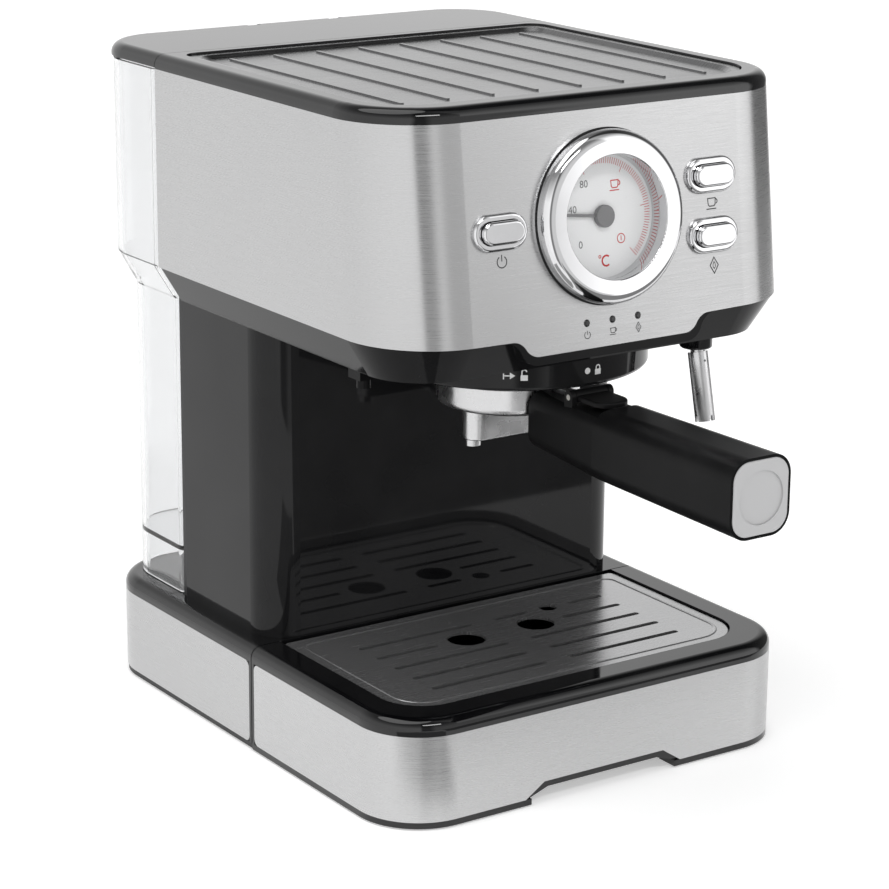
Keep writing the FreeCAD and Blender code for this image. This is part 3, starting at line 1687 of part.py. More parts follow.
def portafilter_handle():
    """Rounded-square grip that swells to its end, with a flat on the neck for the clip."""
    item = new_body("portafilter_handle")
    near = GROUP_Y - d.ring_radius - d.gap
    middle = GROUP_Y - d.grip_start
    far = GROUP_Y - d.handle_reach
    neck = handle_section(item, near, d.neck_width, d.neck_height, 7.0)
    start = handle_section(item, middle, d.grip_width, d.grip_height, d.handle_round - 1)
    loft(item, "AdditiveLoft", [neck, start])
    start = handle_section(item, middle, d.grip_width, d.grip_height, d.handle_round - 1)
    end = handle_section(item, far, d.end_width, d.end_height, d.handle_round)
    loft(item, "AdditiveLoft", [start, end])
    flat = sketch_on(item, "YZ", -d.grip_width)
    draw(flat, block(middle - 1, near + 1, NECK_TOP, NECK_TOP + 9))
    pocket(item, flat, d.grip_width * 2, True)
    border = d.cap_border
    inner_round = d.handle_round - border
    recess = handle_section(item, far, d.end_width - border * 2, d.end_height - border * 2, inner_round)
    pocket(item, recess, d.cap_depth)
    boss = sketch_on(item, "XZ", near)
    draw_circle(boss, 0, NECK_Z, NECK_RADIUS + d.fit)
    pocket_toward_front(item, boss, 16)
    ear = sketch_on(item, "YZ", -(d.clip_width / 2 + d.gap + d.clip_ear))
    draw(ear, ear_outline())
    pad(item, ear, d.clip_ear)
    ear = sketch_on(item, "YZ", d.clip_width / 2 + d.gap)
    draw(ear, ear_outline())
    pad(item, ear, d.clip_ear)
    hole = sketch_on(item, "YZ", -d.clip_width)
    draw_circle(hole, CLIP_Y, CLIP_Z, d.clip_pin_radius + d.fit)
    pocket(item, hole, d.clip_width * 2, True)
    return item


def pocket_toward_front(item, sketch, depth):
    """Cut along the XZ sketch's normal, which points to the front."""
    return pocket(item, sketch, depth, True)


def ear_outline():
    reach = d.clip_barrel
    return [
        (CLIP_Y - reach, NECK_TOP - 3),
        (CLIP_Y + reach, NECK_TOP - 3),
        (CLIP_Y + reach, CLIP_Z + reach, 2.6),
        (CLIP_Y - reach, CLIP_Z + reach, 2.6),
    ]


def handle_end_cap():
    """Silver plate in the handle's end, with a shallow round dish."""
    item = new_body("handle_end_cap")
    far = GROUP_Y - d.handle_reach
    back = far + d.cap_depth
    border = d.cap_border + 0.1
    radius = d.handle_round - border
    plate = handle_section(item, back, d.end_width - border * 2, d.end_height - border * 2, radius)
    pad(item, plate, d.cap_depth + 0.6)
    front = far - 0.6
    fillet(item, 0.7, lambda edge: lies(edge, y=front))
    dish = sketch_on(item, "XZ", front)
    draw_circle(dish, 0, HANDLE_Z, d.dish_radius)
    pocket(item, dish, d.dish_depth)
    return item


def filter_clip():
    """Tongue-shaped thumb flap on a barrel; it tips forward over the filter's rim to hold it."""
    item = new_body("filter_clip")
    half = d.clip_width / 2
    low = CLIP_Z - 1.2
    high = low + d.clip_thick
    flap = sketch_on(item, "XY", low)
    draw(flap, block(-half, half, CLIP_Y - d.clip_length, CLIP_Y, half * 0.8))
    pad(item, flap, d.clip_thick)
    fillet(item, 0.9, lambda edge: lies(edge, z=high))
    barrel = sketch_on(item, "YZ", -half)
    draw_circle(barrel, CLIP_Y, CLIP_Z, d.clip_barrel)
    pad(item, barrel, d.clip_width)
    bore = sketch_on(item, "YZ", -half)
    draw_circle(bore, CLIP_Y, CLIP_Z, d.clip_pin_radius + 0.1)
    pocket(item, bore, d.clip_width, True)
    return item


def clip_pin():
    half = d.clip_width / 2 + d.gap + d.clip_ear
    return cylinder("clip_pin", -half, CLIP_Y, CLIP_Z, d.clip_pin_radius, half * 2, "X")


# ---------------------------------------------------------------- water tank


def tank_outline(inset, lower):
    half = COLUMN_HALF if lower else HALF
    back = BACK - d.tank_lower_inset if lower else BACK
    radius = d.tank_lower_radius if lower else d.rear_radius
    front = TANK_FRONT + d.gap
    front_radius = d.tank_front_radius - inset * 0.5
    return block(-(half - inset), half - inset, front + inset, back - inset, front_radius, radius - inset)


def tank_body():
    """Clear tank: narrow below, wide above, with a raised floor over the valve."""
    item = new_body("tank_body")
    foot = d.base_height + d.gap
    pad(item, draw(sketch_on(item, "XY", foot), tank_outline(0, True)), UNDERSIDE - foot)
    loft(item, "AdditiveLoft", tank_sections(item, 0))
    pad(item, draw(sketch_on(item, "XY", SKIN_BOTTOM), tank_outline(0, False)), TANK_TOP - SKIN_BOTTOM)
    ears = sketch_on(item, "XY", TANK_TOP - 6)
    for side in (-1, 1):
        x = side * d.ear_x
        draw(ears, block(x - d.ear_width / 2, x + d.ear_width / 2, BACK - 1, BACK + 1.5))
    pad(item, ears, LID_PIN_Z + 2 - TANK_TOP + 6)
    wall = d.tank_wall
    upper = draw(sketch_on(item, "XY", TANK_TOP), tank_outline(wall, False))
    pocket(item, upper, TANK_TOP - SKIN_BOTTOM)
    loft(item, "SubtractiveLoft", tank_sections(item, wall))
    lower = draw(sketch_on(item, "XY", UNDERSIDE), tank_outline(wall, True))
    pocket(item, lower, UNDERSIDE - TANK_FLOOR)
    recess = draw(sketch_on(item, "XY", foot), tank_outline(wall, True))
    pocket(item, recess, TANK_FLOOR - wall - foot, True)
    port = sketch_on(item, "XY", TANK_FLOOR)
    draw_circle(port, 0, PORT_Y, d.port_radius - 2)
    pocket(item, port, wall)
    hinge = sketch_on(item, "YZ", -d.ear_x - d.ear_width)
    draw_circle(hinge, BACK, LID_PIN_Z, d.lid_pin_radius + 0.1)
    pocket(item, hinge, d.ear_x * 2 + d.ear_width * 2, True)
    return item


def tank_sections(item, inset):
    return [
        draw(sketch_on(item, "XY", UNDERSIDE), tank_outline(inset, True)),
        draw(sketch_on(item, "XY", SKIN_BOTTOM), tank_outline(inset, False)),
    ]


def tank_lid():
    """Shell lid with a rolled edge, solid along the rear where its hinge pin runs."""
    item = new_body("tank_lid")
    front = TANK_FRONT + d.gap
    outline = block(-HALF, HALF, front, LID_BACK, 0, d.rear_radius)
    pad(item, draw(sketch_on(item, "XY", LID_BOTTOM), outline), d.body_height - LID_BOTTOM)
    fillet(item, d.roll_radius, lambda edge: lies(edge, z=d.body_height) and not lies(edge, y=front))
    inner = HALF - d.roll_radius
    hollow = sketch_on(item, "XY", LID_BOTTOM)
    draw(hollow, block(-inner, inner, front + d.wall, BACK - d.roll_radius, 0, d.rear_radius - d.roll_radius))
    pocket(item, hollow, d.body_height - LID_BOTTOM - d.wall, True)
    slots = sketch_on(item, "XY", d.body_height)
    for side in (-1, 1):
        x = side * d.ear_x
        reach = d.ear_width / 2 + d.gap
        draw(slots, block(x - reach, x + reach, BACK - 4.5, LID_BACK + 1))
    pocket(item, slots, d.body_height - LID_BOTTOM)
    bore = sketch_on(item, "YZ", -PIN_HALF)
    draw_circle(bore, BACK, LID_PIN_Z, d.lid_pin_radius + d.fit)
    pocket(item, bore, PIN_HALF * 2, True)
    return item


def lid_pin():
    return cylinder("lid_pin", -PIN_HALF, BACK, LID_PIN_Z, d.lid_pin_radius, PIN_HALF * 2, "X")


def tank_valve():
    """Spring valve pressed into the port in the tank's floor."""
    item = place(new_body("tank_valve"), 0, PORT_Y, 0)
    floor = TANK_FLOOR
    neck = d.port_radius - 2 - d.fit
    bottom = d.base_height - 4
    profile = [
        (0, bottom + 2),
        (d.port_radius - 1, bottom + 2),
        (d.port_radius - 1, floor - d.tank_wall),
        (neck, floor - d.tank_wall),
        (neck, floor + 2, 1.0),
        (0, floor + 2),
    ]
    revolve(item, draw(sketch_on(item, "XZ"), profile))
    return item


def tank_socket():
    """Rubber cup in the base that the valve plugs into, over the hose."""
    item = place(new_body("tank_socket"), 0, PORT_Y, 0)
    bottom = d.base_height - SOCKET_HEIGHT
    bore = d.port_radius - 1 + d.gap
    profile = [
        (d.hose_bore, bottom),
        (d.socket_radius, bottom),
        (d.socket_radius, d.base_height),
        (bore, d.base_height),
        (bore, d.base_height - 2 - d.gap),
        (d.hose_bore, d.base_height - 2 - d.gap),
    ]
    revolve(item, draw(sketch_on(item, "XZ"), profile))
    return item


# ---------------------------------------------------------------- places shared by neighbours

SCREW_RADIUS = 2.4
BOLT_CIRCLE = d.boiler_flange - 4.2
BOLT_RADIUS = size(2.0)
HOSE_X = size(76.0)
HOSE_SHORT = size(7.0)
GLAND_X = size(62.0)
GLAND_Z = size(20.0)
GLAND_RADIUS = size(7.0)
NUT_RADIUS = size(7.0)
NUT_RISE = size(6.0)
WAND_Z = UNDERSIDE - 1.3
OUTLET_RADIUS = size(6.0)
NECK_Z = RING_BOTTOM + 7.0
NECK_RADIUS = size(5.5)
STEM_REACH = size(8.5)
BOARD_SINK = size(10.0)
SOCKET_HEIGHT = size(8.0)
PIN_HALF = size(30.0)


def build():
    """Make every piece and return them in the order of the bench."""
    blank = skin_blank()
    holes = panel_holes()
    places = button_places()
    return [
        base_shell(),
        base_band(),
        base_plate(),
        rubber_feet(),
        base_screws(),
        cord_gland(),
        drip_tray(),
        tray_band(),
        drip_grid(),
        column_shell(),
        rear_cover(),
        head_skin(blank, holes),
        head_shell(blank, holes),
        top_frame(),
        cup_plate(),
        group_collar(),
        group_head(),
        group_gasket(),
        shower_screen(),
        shower_screw(),
        boiler_body(),
        boiler_top(),
        boiler_screws(),
        thermostats(),
        pump_body(),
        pump_coil(),
        pump_mounts(),
        suction_hose(),
        pressure_hose(),
        steam_valve(),
        steam_pipes(),
        steam_knob(),
        wand_nut(),
        steam_wand(),
        froth_sleeve(),
        gauge_bezel(),
        gauge_housing(),
        gauge_dial(),
        gauge_glass(),
        gauge_needle(),
        button_bezels(),
        button("button_power", places[0]),
        button("button_brew", places[1]),
        button("button_steam", places[2]),
        button_switches(),
        indicator_lights(),
        control_board(),
        portafilter_body(),
        filter_basket(),
        portafilter_spout(),
        portafilter_handle(),
        handle_end_cap(),
        filter_clip(),
        clip_pin(),
        tank_body(),
        tank_lid(),
        lid_pin(),
        tank_valve(),
        tank_socket(),
    ]


def check(pieces):
    """Stop if any object failed, or a piece has no valid shape."""
    for item in doc.Objects:
        if "Invalid" in item.State or "Error" in item.State:
            raise RuntimeError("%s (%s) failed: %s" % (item.Label, item.Name, item.State))
    for piece in pieces:
        if piece.Shape.isNull() or not piece.Shape.isValid() or not piece.Shape.Solids:
            raise RuntimeError("%s has no valid solid" % piece.Label)


pieces = build()
doc.recompute()
check(pieces)
os.makedirs("parts", exist_ok=True)
for piece in pieces:
    piece.Shape.exportStep("parts/%s.step" % piece.Label)
print("wrote %d pieces" % len(pieces))
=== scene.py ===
import math

import bmesh
import bpy
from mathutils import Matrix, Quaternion, Vector


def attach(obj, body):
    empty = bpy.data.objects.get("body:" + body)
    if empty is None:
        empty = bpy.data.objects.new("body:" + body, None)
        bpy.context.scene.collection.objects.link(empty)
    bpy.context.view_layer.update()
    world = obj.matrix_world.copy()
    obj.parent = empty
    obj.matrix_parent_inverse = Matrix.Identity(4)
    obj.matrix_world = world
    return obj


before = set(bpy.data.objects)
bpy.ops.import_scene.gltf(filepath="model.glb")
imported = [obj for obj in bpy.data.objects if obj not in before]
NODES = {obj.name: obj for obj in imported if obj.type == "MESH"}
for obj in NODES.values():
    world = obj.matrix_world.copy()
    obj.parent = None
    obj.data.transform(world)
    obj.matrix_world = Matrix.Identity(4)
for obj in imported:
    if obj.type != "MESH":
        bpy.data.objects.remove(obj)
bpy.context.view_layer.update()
MM = 0.001
SCENE = bpy.context.scene

# The front panel leans back. ACROSS and UP lie in it, and OUT points away from it.
LEAN = math.radians(6.9)
ACROSS = Vector((1, 0, 0))
UP = Vector((0, math.sin(LEAN), math.cos(LEAN)))
OUT = Vector((0, -math.cos(LEAN), math.sin(LEAN)))


# ---------------------------------------------------------------- node helpers


class Shader:
    """A material's node tree, with short ways to add and join nodes."""

    def __init__(self, name):
        self.material = bpy.data.materials.new(name)
        self.material.use_nodes = True
        self.tree = self.material.node_tree
        self.surface = self.tree.nodes["Principled BSDF"]

    def node(self, kind, **values):
        made = self.tree.nodes.new(kind)
        for key, value in values.items():
            if key in made.inputs:
                made.inputs[key].default_value = value
            else:
                setattr(made, key, value)
        return made

    def join(self, source, target):
        self.tree.links.new(source, target)

    def set(self, **values):
        for key, value in values.items():
            self.surface.inputs[key.replace("_", " ")].default_value = value

    def noise(self, stretch, scale=1.0, detail=3.0, rough=0.55):
        """Noise over the object's own coordinates, with one scale for each axis, in waves a metre."""
        place = self.node("ShaderNodeTexCoord")
        mapping = self.node("ShaderNodeMapping")
        mapping.inputs["Scale"].default_value = stretch
        self.join(place.outputs["Object"], mapping.inputs["Vector"])
        made = self.node("ShaderNodeTexNoise", Scale=scale, Detail=detail, Roughness=rough)
        self.join(mapping.outputs["Vector"], made.inputs["Vector"])
        return made.outputs["Fac"]

    def spread(self, source, low, high, start=0.3, end=0.7):
        """The source rescaled, so that start becomes low and end becomes high."""
        made = self.node("ShaderNodeMapRange")
        made.inputs["From Min"].default_value = start
        made.inputs["From Max"].default_value = end
        made.inputs["To Min"].default_value = low
        made.inputs["To Max"].default_value = high
        self.join(source, made.inputs["Value"])
        return made.outputs["Result"]

    def colours(self, source, dark, light, start=0.3, end=0.7):
        made = self.node("ShaderNodeValToRGB")
        ramp = made.color_ramp
        ramp.elements[0].position = start
        ramp.elements[0].color = (*dark, 1)
        ramp.elements[1].position = end
        ramp.elements[1].color = (*light, 1)
        self.join(source, made.inputs["Fac"])
        self.join(made.outputs["Color"], self.surface.inputs["Base Color"])

    def roughness(self, source):
        self.join(source, self.surface.inputs["Roughness"])

    def bump(self, source, depth, strength=1.0):
        made = self.node("ShaderNodeBump", Strength=strength, Distance=depth)
        self.join(source, made.inputs["Height"])
        self.join(made.outputs["Normal"], self.surface.inputs["Normal"])


def around(level, change):
    return tuple(max(0.0, channel + change) for channel in level)


def brushed(name, level, stretch, rough, aniso, metallic=1.0):
    """Steel sheet brushed one way: fine streaks in colour, roughness and relief.

    Highlights run across the grain.
    """
    made = Shader(name)
    made.set(Metallic=metallic, Anisotropic=aniso, Anisotropic_Rotation=0.25)
    streaks = made.noise(stretch, detail=4.0, rough=0.7)
    broad = made.noise((9, 9, 9), detail=2.0)
    made.colours(streaks, around(level, -0.02), around(level, 0.02))
    grain = made.spread(streaks, rough - 0.05, rough + 0.06)
    cloud = made.spread(broad, -0.025, 0.025)
    total = made.node("ShaderNodeMath", operation="ADD")
    made.join(grain, total.inputs[0])
    made.join(cloud, total.inputs[1])
    made.roughness(total.outputs[0])
    made.bump(streaks, 0.000004, 0.3)
    tangent = made.node("ShaderNodeTangent", direction_type="RADIAL", axis="Z")
    made.join(tangent.outputs["Tangent"], made.surface.inputs["Tangent"])
    return made.material


def plastic(name, level, rough, peel=0.00002, waves=900, specular=0.5, spread=0.03):
    """Moulded plastic: a fine skin texture, and patches that are a little duller."""
    made = Shader(name)
    made.set(Specular_IOR_Level=specular)
    patches = made.noise((22, 22, 22), detail=3.0)
    skin = made.noise((waves, waves, waves), detail=2.0)
    made.colours(patches, around(level, -0.003), around(level, 0.003))
    made.roughness(made.spread(patches, rough - spread, rough + spread))
    made.bump(skin, peel, 0.4)
    return made.material


def metal(name, level, rough, waves=60, relief=0.0, relief_waves=600):
    """Plated, cast or polished metal with faint smears."""
    made = Shader(name)
    made.set(Metallic=1.0)
    smear = made.noise((waves, waves, waves), detail=3.0)
    made.colours(smear, around(level, -0.02), around(level, 0.02))
    made.roughness(made.spread(smear, rough * 0.7, rough * 1.4))
    if relief:
        made.bump(made.noise((relief_waves,) * 3, detail=3.0), relief, 0.5)
    return made.material


def clear(name, tint, ior, rough):
    """Thick clear moulding, with faint smears."""
    made = Shader(name)
    made.set(IOR=ior, Transmission_Weight=1.0)
    smear = made.noise((30, 30, 30), detail=3.0)
    made.colours(smear, around(tint, -0.01), tint)
    made.roughness(made.spread(smear, rough * 0.5, rough * 1.5))
    return made.material


def window(name, gloss):
    """Thin clear sheet: seen straight through, with a faint gloss that grows towards the edge."""
    made = Shader(name)
    made.set(Roughness=0.03, Base_Color=(0.02, 0.02, 0.02, 1))
    smear = made.noise((40, 40, 40), detail=3.0)
    made.roughness(made.spread(smear, 0.02, 0.06))
    facing = made.node("ShaderNodeLayerWeight", Blend=0.25)
    made.join(made.spread(facing.outputs["Facing"], gloss, 0.35, 0.0, 1.0), made.surface.inputs["Alpha"])
    return made.material


def ink(name, level):
    """Printed ink, a little uneven where it lies thin."""
    made = Shader(name)
    made.set(Specular_IOR_Level=0.2)
    speckle = made.noise((1500, 1500, 1500), detail=2.0)
    made.colours(speckle, around(level, -0.01), around(level, 0.02))
    made.roughness(made.spread(speckle, 0.45, 0.6))
    return made.material


# ---------------------------------------------------------------- finishes

wrap_steel = brushed("steel_brushed_around", (0.51, 0.51, 0.513), (60, 60, 3600), 0.28, 0.95)
band_steel = brushed("steel_brushed_band", (0.54, 0.54, 0.543), (60, 60, 3600), 0.28, 0.95)
drip_steel = brushed("steel_drip_plate", (0.52, 0.52, 0.525), (40, 2600, 40), 0.23, 0.0, 0.85)
cup_steel = brushed("steel_cup_plate", (0.24, 0.24, 0.243), (60, 2600, 60), 0.25, 0.0)
gloss_black = plastic("black_gloss", (0.004, 0.004, 0.0045), 0.05, 0.000002, 250, 0.55, 0.02)
mirror_black = plastic("black_mirror", (0.008, 0.008, 0.0085), 0.045, 0.000002, 250, 0.24, 0.015)
trim_black = plastic("black_trim", (0.005, 0.005, 0.0054), 0.06, 0.000002, 250, 0.1, 0.02)
satin_black = plastic("black_satin", (0.006, 0.006, 0.0063), 0.36, 0.00003, 1400, 0.09)
matte_black = plastic("black_matte", (0.02, 0.02, 0.021), 0.5, 0.00004, 1100, 0.4)
rubber = plastic("rubber_black", (0.018, 0.018, 0.018), 0.7, 0.00004, 700, 0.3)
chrome = metal("chrome", (0.66, 0.66, 0.67), 0.05)
polished = metal("steel_polished", (0.60, 0.60, 0.605), 0.27, 90)
cast = metal("aluminium_cast", (0.42, 0.42, 0.43), 0.42, 120, 0.00006, 700)
zinc = metal("zinc_plate", (0.5, 0.49, 0.46), 0.3, 200)
silver = plastic("silver_paint", (0.46, 0.46, 0.465), 0.4, 0.00001, 1500)
silicone = plastic("silicone", (0.6, 0.61, 0.6), 0.45, 0.00002, 500)
iron = plastic("iron_painted", (0.06, 0.06, 0.065), 0.42, 0.00004, 800)
board = plastic("circuit_board", (0.02, 0.09, 0.04), 0.35, 0.00001, 900)
dial_white = plastic("dial_white", (0.93, 0.935, 0.94), 0.5, 0.000004, 1200, 0.3)
needle_grey = plastic("needle_grey", (0.22, 0.22, 0.225), 0.45, 0.00001, 1200)
lens_dark = plastic("lamp_lens", (0.01, 0.01, 0.011), 0.1, 0.00001, 900)
tank_clear = clear("tank_clear", (0.88, 0.885, 0.89), 1.46, 0.02)
glass_clear = window("gauge_window", 0.01)
ink_black = ink("ink_black", (0.015, 0.015, 0.016))
ink_grey = ink("ink_grey", (0.16, 0.16, 0.165))
ink_red = ink("ink_red", (0.62, 0.05, 0.05))
ink_white = ink("ink_white", (0.72, 0.72, 0.72))

FINISH = {
    wrap_steel: ["base_band", "head_skin"],
    band_steel: ["tray_band"],
    drip_steel: ["drip_grid"],
    cup_steel: ["cup_plate"],
    gloss_black: ["wand_nut", "base_shell", "drip_tray", "top_frame", "tank_lid"],
    mirror_black: ["column_shell", "group_collar"],
    trim_black: ["head_shell"],
    satin_black: ["steam_knob", "portafilter_handle", "filter_clip"],
    matte_black: ["base_plate", "rear_cover", "pump_body", "gauge_housing", "button_switches", "tank_valve"],
    rubber: ["rubber_feet", "cord_gland", "group_gasket", "pump_mounts", "tank_socket"],
    chrome: ["gauge_bezel", "button_bezels", "button_power", "button_brew", "button_steam"],
    polished: [
        "shower_screen",
        "steam_pipes",
        "steam_wand",
        "froth_sleeve",
        "portafilter_body",
        "filter_basket",
        "portafilter_spout",
    ],
    cast: ["group_head", "boiler_body", "boiler_top", "steam_valve"],
    zinc: ["base_screws", "shower_screw", "boiler_screws", "clip_pin", "lid_pin"],
    silver: ["thermostats", "handle_end_cap"],
    silicone: ["suction_hose", "pressure_hose"],
    iron: ["pump_coil"],
    board: ["control_board"],
    dial_white: ["gauge_dial"],
    needle_grey: ["gauge_needle"],
    lens_dark: ["indicator_lights"],
    tank_clear: ["tank_body"],
    glass_clear: ["gauge_glass"],
}
for finish, names in FINISH.items():
    for name in names:
        NODES[name].data.materials.clear()
        NODES[name].data.materials.append(finish)


# ---------------------------------------------------------------- printed marks


def bead(name, finish, body, path, z, width, height):
    """A low rounded ridge pressed along a closed path, drawn in millimetres at a height."""
    mesh = bmesh.new()
    section = [(-0.5, 0.0), (-0.28, 0.8), (0.0, 1.0), (0.28, 0.8), (0.5, 0.0)]
    rings = []
    count = len(path)
    for i, (x, y) in enumerate(path):
        before, after = path[i - 1], path[(i + 1) % count]
        way = Vector((after[0] - before[0], after[1] - before[1])).normalized()
        ring = []
        for across, lift in section:
            spot = (x - way.y * across * width, y + way.x * across * width, z + lift * height)
            ring.append(mesh.verts.new(Vector(spot) * MM))
        rings.append(ring)
    for i in range(count):
        here, there = rings[i - 1], rings[i]
        for k in range(len(section) - 1):
            mesh.faces.new([here[k], there[k], there[k + 1], here[k + 1]])
    bmesh.ops.recalc_face_normals(mesh, faces=mesh.faces)
    data = bpy.data.meshes.new(name)
    mesh.to_mesh(data)
    mesh.free()
    for face in data.polygons:
        face.use_smooth = True
    made = bpy.data.objects.new(name, data)
    SCENE.collection.objects.link(made)
    made.data.materials.append(finish)
    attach(made, body)


def rounded(half, front, rear, front_round, rear_round, steps=10):
    """A rectangle's outline with round corners, seen from above."""
    corners = [
        (half - front_round, front + front_round, front_round, -90),
        (half - rear_round, rear - rear_round, rear_round, 0),
        (-half + rear_round, rear - rear_round, rear_round, 90),
        (-half + front_round, front + front_round, front_round, 180),
    ]
    path = []
    for x, y, radius, start in corners:
        for i in range(steps + 1):
            a = math.radians(start + 90 * i / steps)
            path.append((x + radius * math.cos(a), y + radius * math.sin(a)))
    return path


def plate_bead():
    """The pressed line that runs round inside the drip plate's edge."""
    corners = [vertex.co / MM for vertex in NODES["drip_grid"].data.vertices]
    inset = 6
    half = max(corner.x for corner in corners) - inset
    front = min(corner.y for corner in corners) + inset
    rear = max(corner.y for corner in corners) - inset
    foot = max(corner.z for corner in corners) - 0.02
    width = 1.6
    height = 0.35
    path = rounded(half, front, rear, 14, 5)
    bead("plate_bead", drip_steel, "grid", path, foot, width, height)


plate_bead()


class Print:
    """Flat printed shapes, drawn in millimetres and laid on a surface as one thin piece."""

    def __init__(self, name, finish, body, slot, lay):
        self.name, self.finish, self.body, self.slot, self.lay = name, finish, body, slot, lay
        self.mesh = bmesh.new()

    def face(self, corners):
        made = [self.mesh.verts.new(self.lay(x, y)) for x, y in corners]
        self.mesh.faces.new(made)

    def line(self, points, width, closed=False):
        """A stroke of even width through the points, with mitred turns."""
        count = len(points)
        left, right = [], []
        for i, (x, y) in enumerate(points):
            before = points[i - 1] if i or closed else None
            after = points[(i + 1) % count] if i + 1 < count or closed else None
            ways = []
            if before:
                ways.append(Vector((x - before[0], y - before[1])).normalized())
            if after:
                ways.append(Vector((after[0] - x, after[1] - y)).normalized())
            way = sum(ways, Vector((0, 0))).normalized()
            reach = width / 2 / max(0.4, way.dot(ways[0]))
            left.append((x - way.y * reach, y + way.x * reach))
            right.append((x + way.y * reach, y - way.x * reach))
        for i in range(count if closed else count - 1):
            j = (i + 1) % count
            self.face([right[i], right[j], left[j], left[i]])

    def arc(self, x, y, radius, start, end, width, steps=24):
        turn = [math.radians(start + (end - start) * i / steps) for i in range(steps + 1)]
        whole = abs(end - start) >= 360
        points = [(x + radius * math.cos(a), y + radius * math.sin(a)) for a in turn]
        self.line(points[:-1] if whole else points, width, whole)

    def dot(self, x, y, radius, steps=28):
        turn = [2 * math.pi * i / steps for i in range(steps)]
        self.face([(x + radius * math.cos(a), y + radius * math.sin(a)) for a in turn])

    def words(self, text, x, y, size):
        """Upright figures, centred on the point."""
        curve = bpy.data.curves.new(self.name + "_figures", "FONT")
        curve.body = text
        curve.size = size
        curve.align_x = "CENTER"
        curve.align_y = "CENTER"
        holder = bpy.data.objects.new(self.name + "_figures", curve)
        SCENE.collection.objects.link(holder)
        bpy.context.view_layer.update()
        shape = bpy.data.meshes.new_from_object(holder.evaluated_get(bpy.context.evaluated_depsgraph_get()))
        verts = [self.mesh.verts.new(self.lay(x + v.co.x, y + v.co.y)) for v in shape.vertices]
        for face in shape.polygons:
            self.mesh.faces.new([verts[i] for i in face.vertices])
        bpy.data.objects.remove(holder)
        bpy.data.curves.remove(curve)
        bpy.data.meshes.remove(shape)

    def power(self, x, y, size, width):
        self.arc(x, y, size * 0.5, 122, 418, width)
        self.line([(x, y + size * 0.05), (x, y + size * 0.62)], width)

    def cup(self, x, y, size, width):
        half, low, high = size * 0.36, -size * 0.2, size * 0.38
        bowl = [(-half, high), (-half * 0.9, low + size * 0.12), (-half * 0.6, low)]
        bowl += [(half * 0.6, low), (half * 0.9, low + size * 0.12), (half, high)]
        self.line([(x + u, y + v) for u, v in bowl], width, True)
        self.arc(x + half, y + size * 0.14, size * 0.17, -80, 80, width, 10)
        self.line([(x - size * 0.5, y - size * 0.4), (x + size * 0.42, y - size * 0.4)], width)

    def steam(self, x, y, size, width):
        half, tall = size * 0.36, size * 0.56
        self.line([(x, y + tall), (x + half, y), (x, y - tall), (x - half, y)], width, True)
        lens = [(0, 0.26), (0.1, 0.06), (0.1, -0.1), (0, -0.24), (-0.1, -0.1), (-0.1, 0.06)]
        self.line([(x + u * size, y + v * size) for u, v in lens], width * 0.7, True)

    def padlock(self, x, y, size, width, shut):
        half, low, high = size * 0.34, -size * 0.45, size * 0.08
        self.face([(x - half, y + low), (x + half, y + low), (x + half, y + high), (x - half, y + high)])
        lift = 0 if shut else size * 0.14
        bow = size * 0.22
        self.line([(x - bow, y + high), (x - bow, y + high + size * 0.16 + lift)], width)
        self.arc(x, y + high + size * 0.16 + lift, bow, 180, 0, width, 12)
        if shut:
            self.line([(x + bow, y + high + size * 0.16), (x + bow, y + high)], width)

    def done(self):
        data = bpy.data.meshes.new(self.name)
        self.mesh.to_mesh(data)
        self.mesh.free()
        made = bpy.data.objects.new(self.name, data)
        SCENE.collection.objects.link(made)
        made.data.materials.append(self.finish)
        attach(made, self.body)
        return made


def reach(node, origin, way):
    """How far a CAD node stands out from the origin along a direction."""
    return max(way.dot(vertex.co - origin) for vertex in NODES[node].data.vertices)


GAUGE_Z = 246 * MM
PANEL = Vector((0, -124.8 * MM, 202 * MM))
GAUGE = PANEL + UP * ((GAUGE_Z - PANEL.z) / UP.z)
INK = 0.03 * MM
DIAL = reach("gauge_dial", GAUGE, OUT) + INK


def on_dial(x, y):
    return GAUGE + ACROSS * (x * MM) + UP * (y * MM) + OUT * DIAL


def on_panel(x, y):
    """A point of the panel, by its distance across and its height above the machine's foot."""
    return PANEL + ACROSS * (x * MM) + UP * ((y * MM - PANEL.z) / UP.z) + OUT * INK


GROUP_Y = -51.9 * MM
COLLAR_RADIUS = 60


def on_collar(x, y):
    """A point of the collar, by its distance round to the right of the front, and its height."""
    turn = x / COLLAR_RADIUS
    out = COLLAR_RADIUS * MM + INK
    return Vector((math.sin(turn) * out, GROUP_Y - math.cos(turn) * out, y * MM))


KNOB = Vector((105 * MM + INK, -40 * MM, 245 * MM))


def on_knob_side(x, y):
    """A point of the right side panel round the knob, seen from that side."""
    return KNOB + Vector((0, x * MM, y * MM))


# The dial's scale: the angle of its zero, and the turn for each degree of temperature.
DIAL_ZERO = 223.4
DIAL_STEP = -54.2 / 40


def degree(value):
    """Angle on the dial for a temperature."""
    return math.radians(DIAL_ZERO + DIAL_STEP * value)


def tick(mark, value, near, far, width):
    a = degree(value)
    mark.line([(near * math.cos(a), near * math.sin(a)), (far * math.cos(a), far * math.sin(a))], width)


scale = Print("dial_scale", ink_grey, "machine", "dial_print", on_dial)
for value in (0, 10, 20, 40, 60, 80):
    tick(scale, value, 21.0 if value % 40 == 0 else 22.4, 24.6, 0.3)
for value in range(2, 10, 2):
    tick(scale, value, 23.0, 24.4, 0.22)
scale.words("80", -8.7, 13.6, 4.2)
scale.words("40", -14.9, 3.8, 4.2)
scale.words("0", -11.7, -10.7, 4.2)
scale.done()

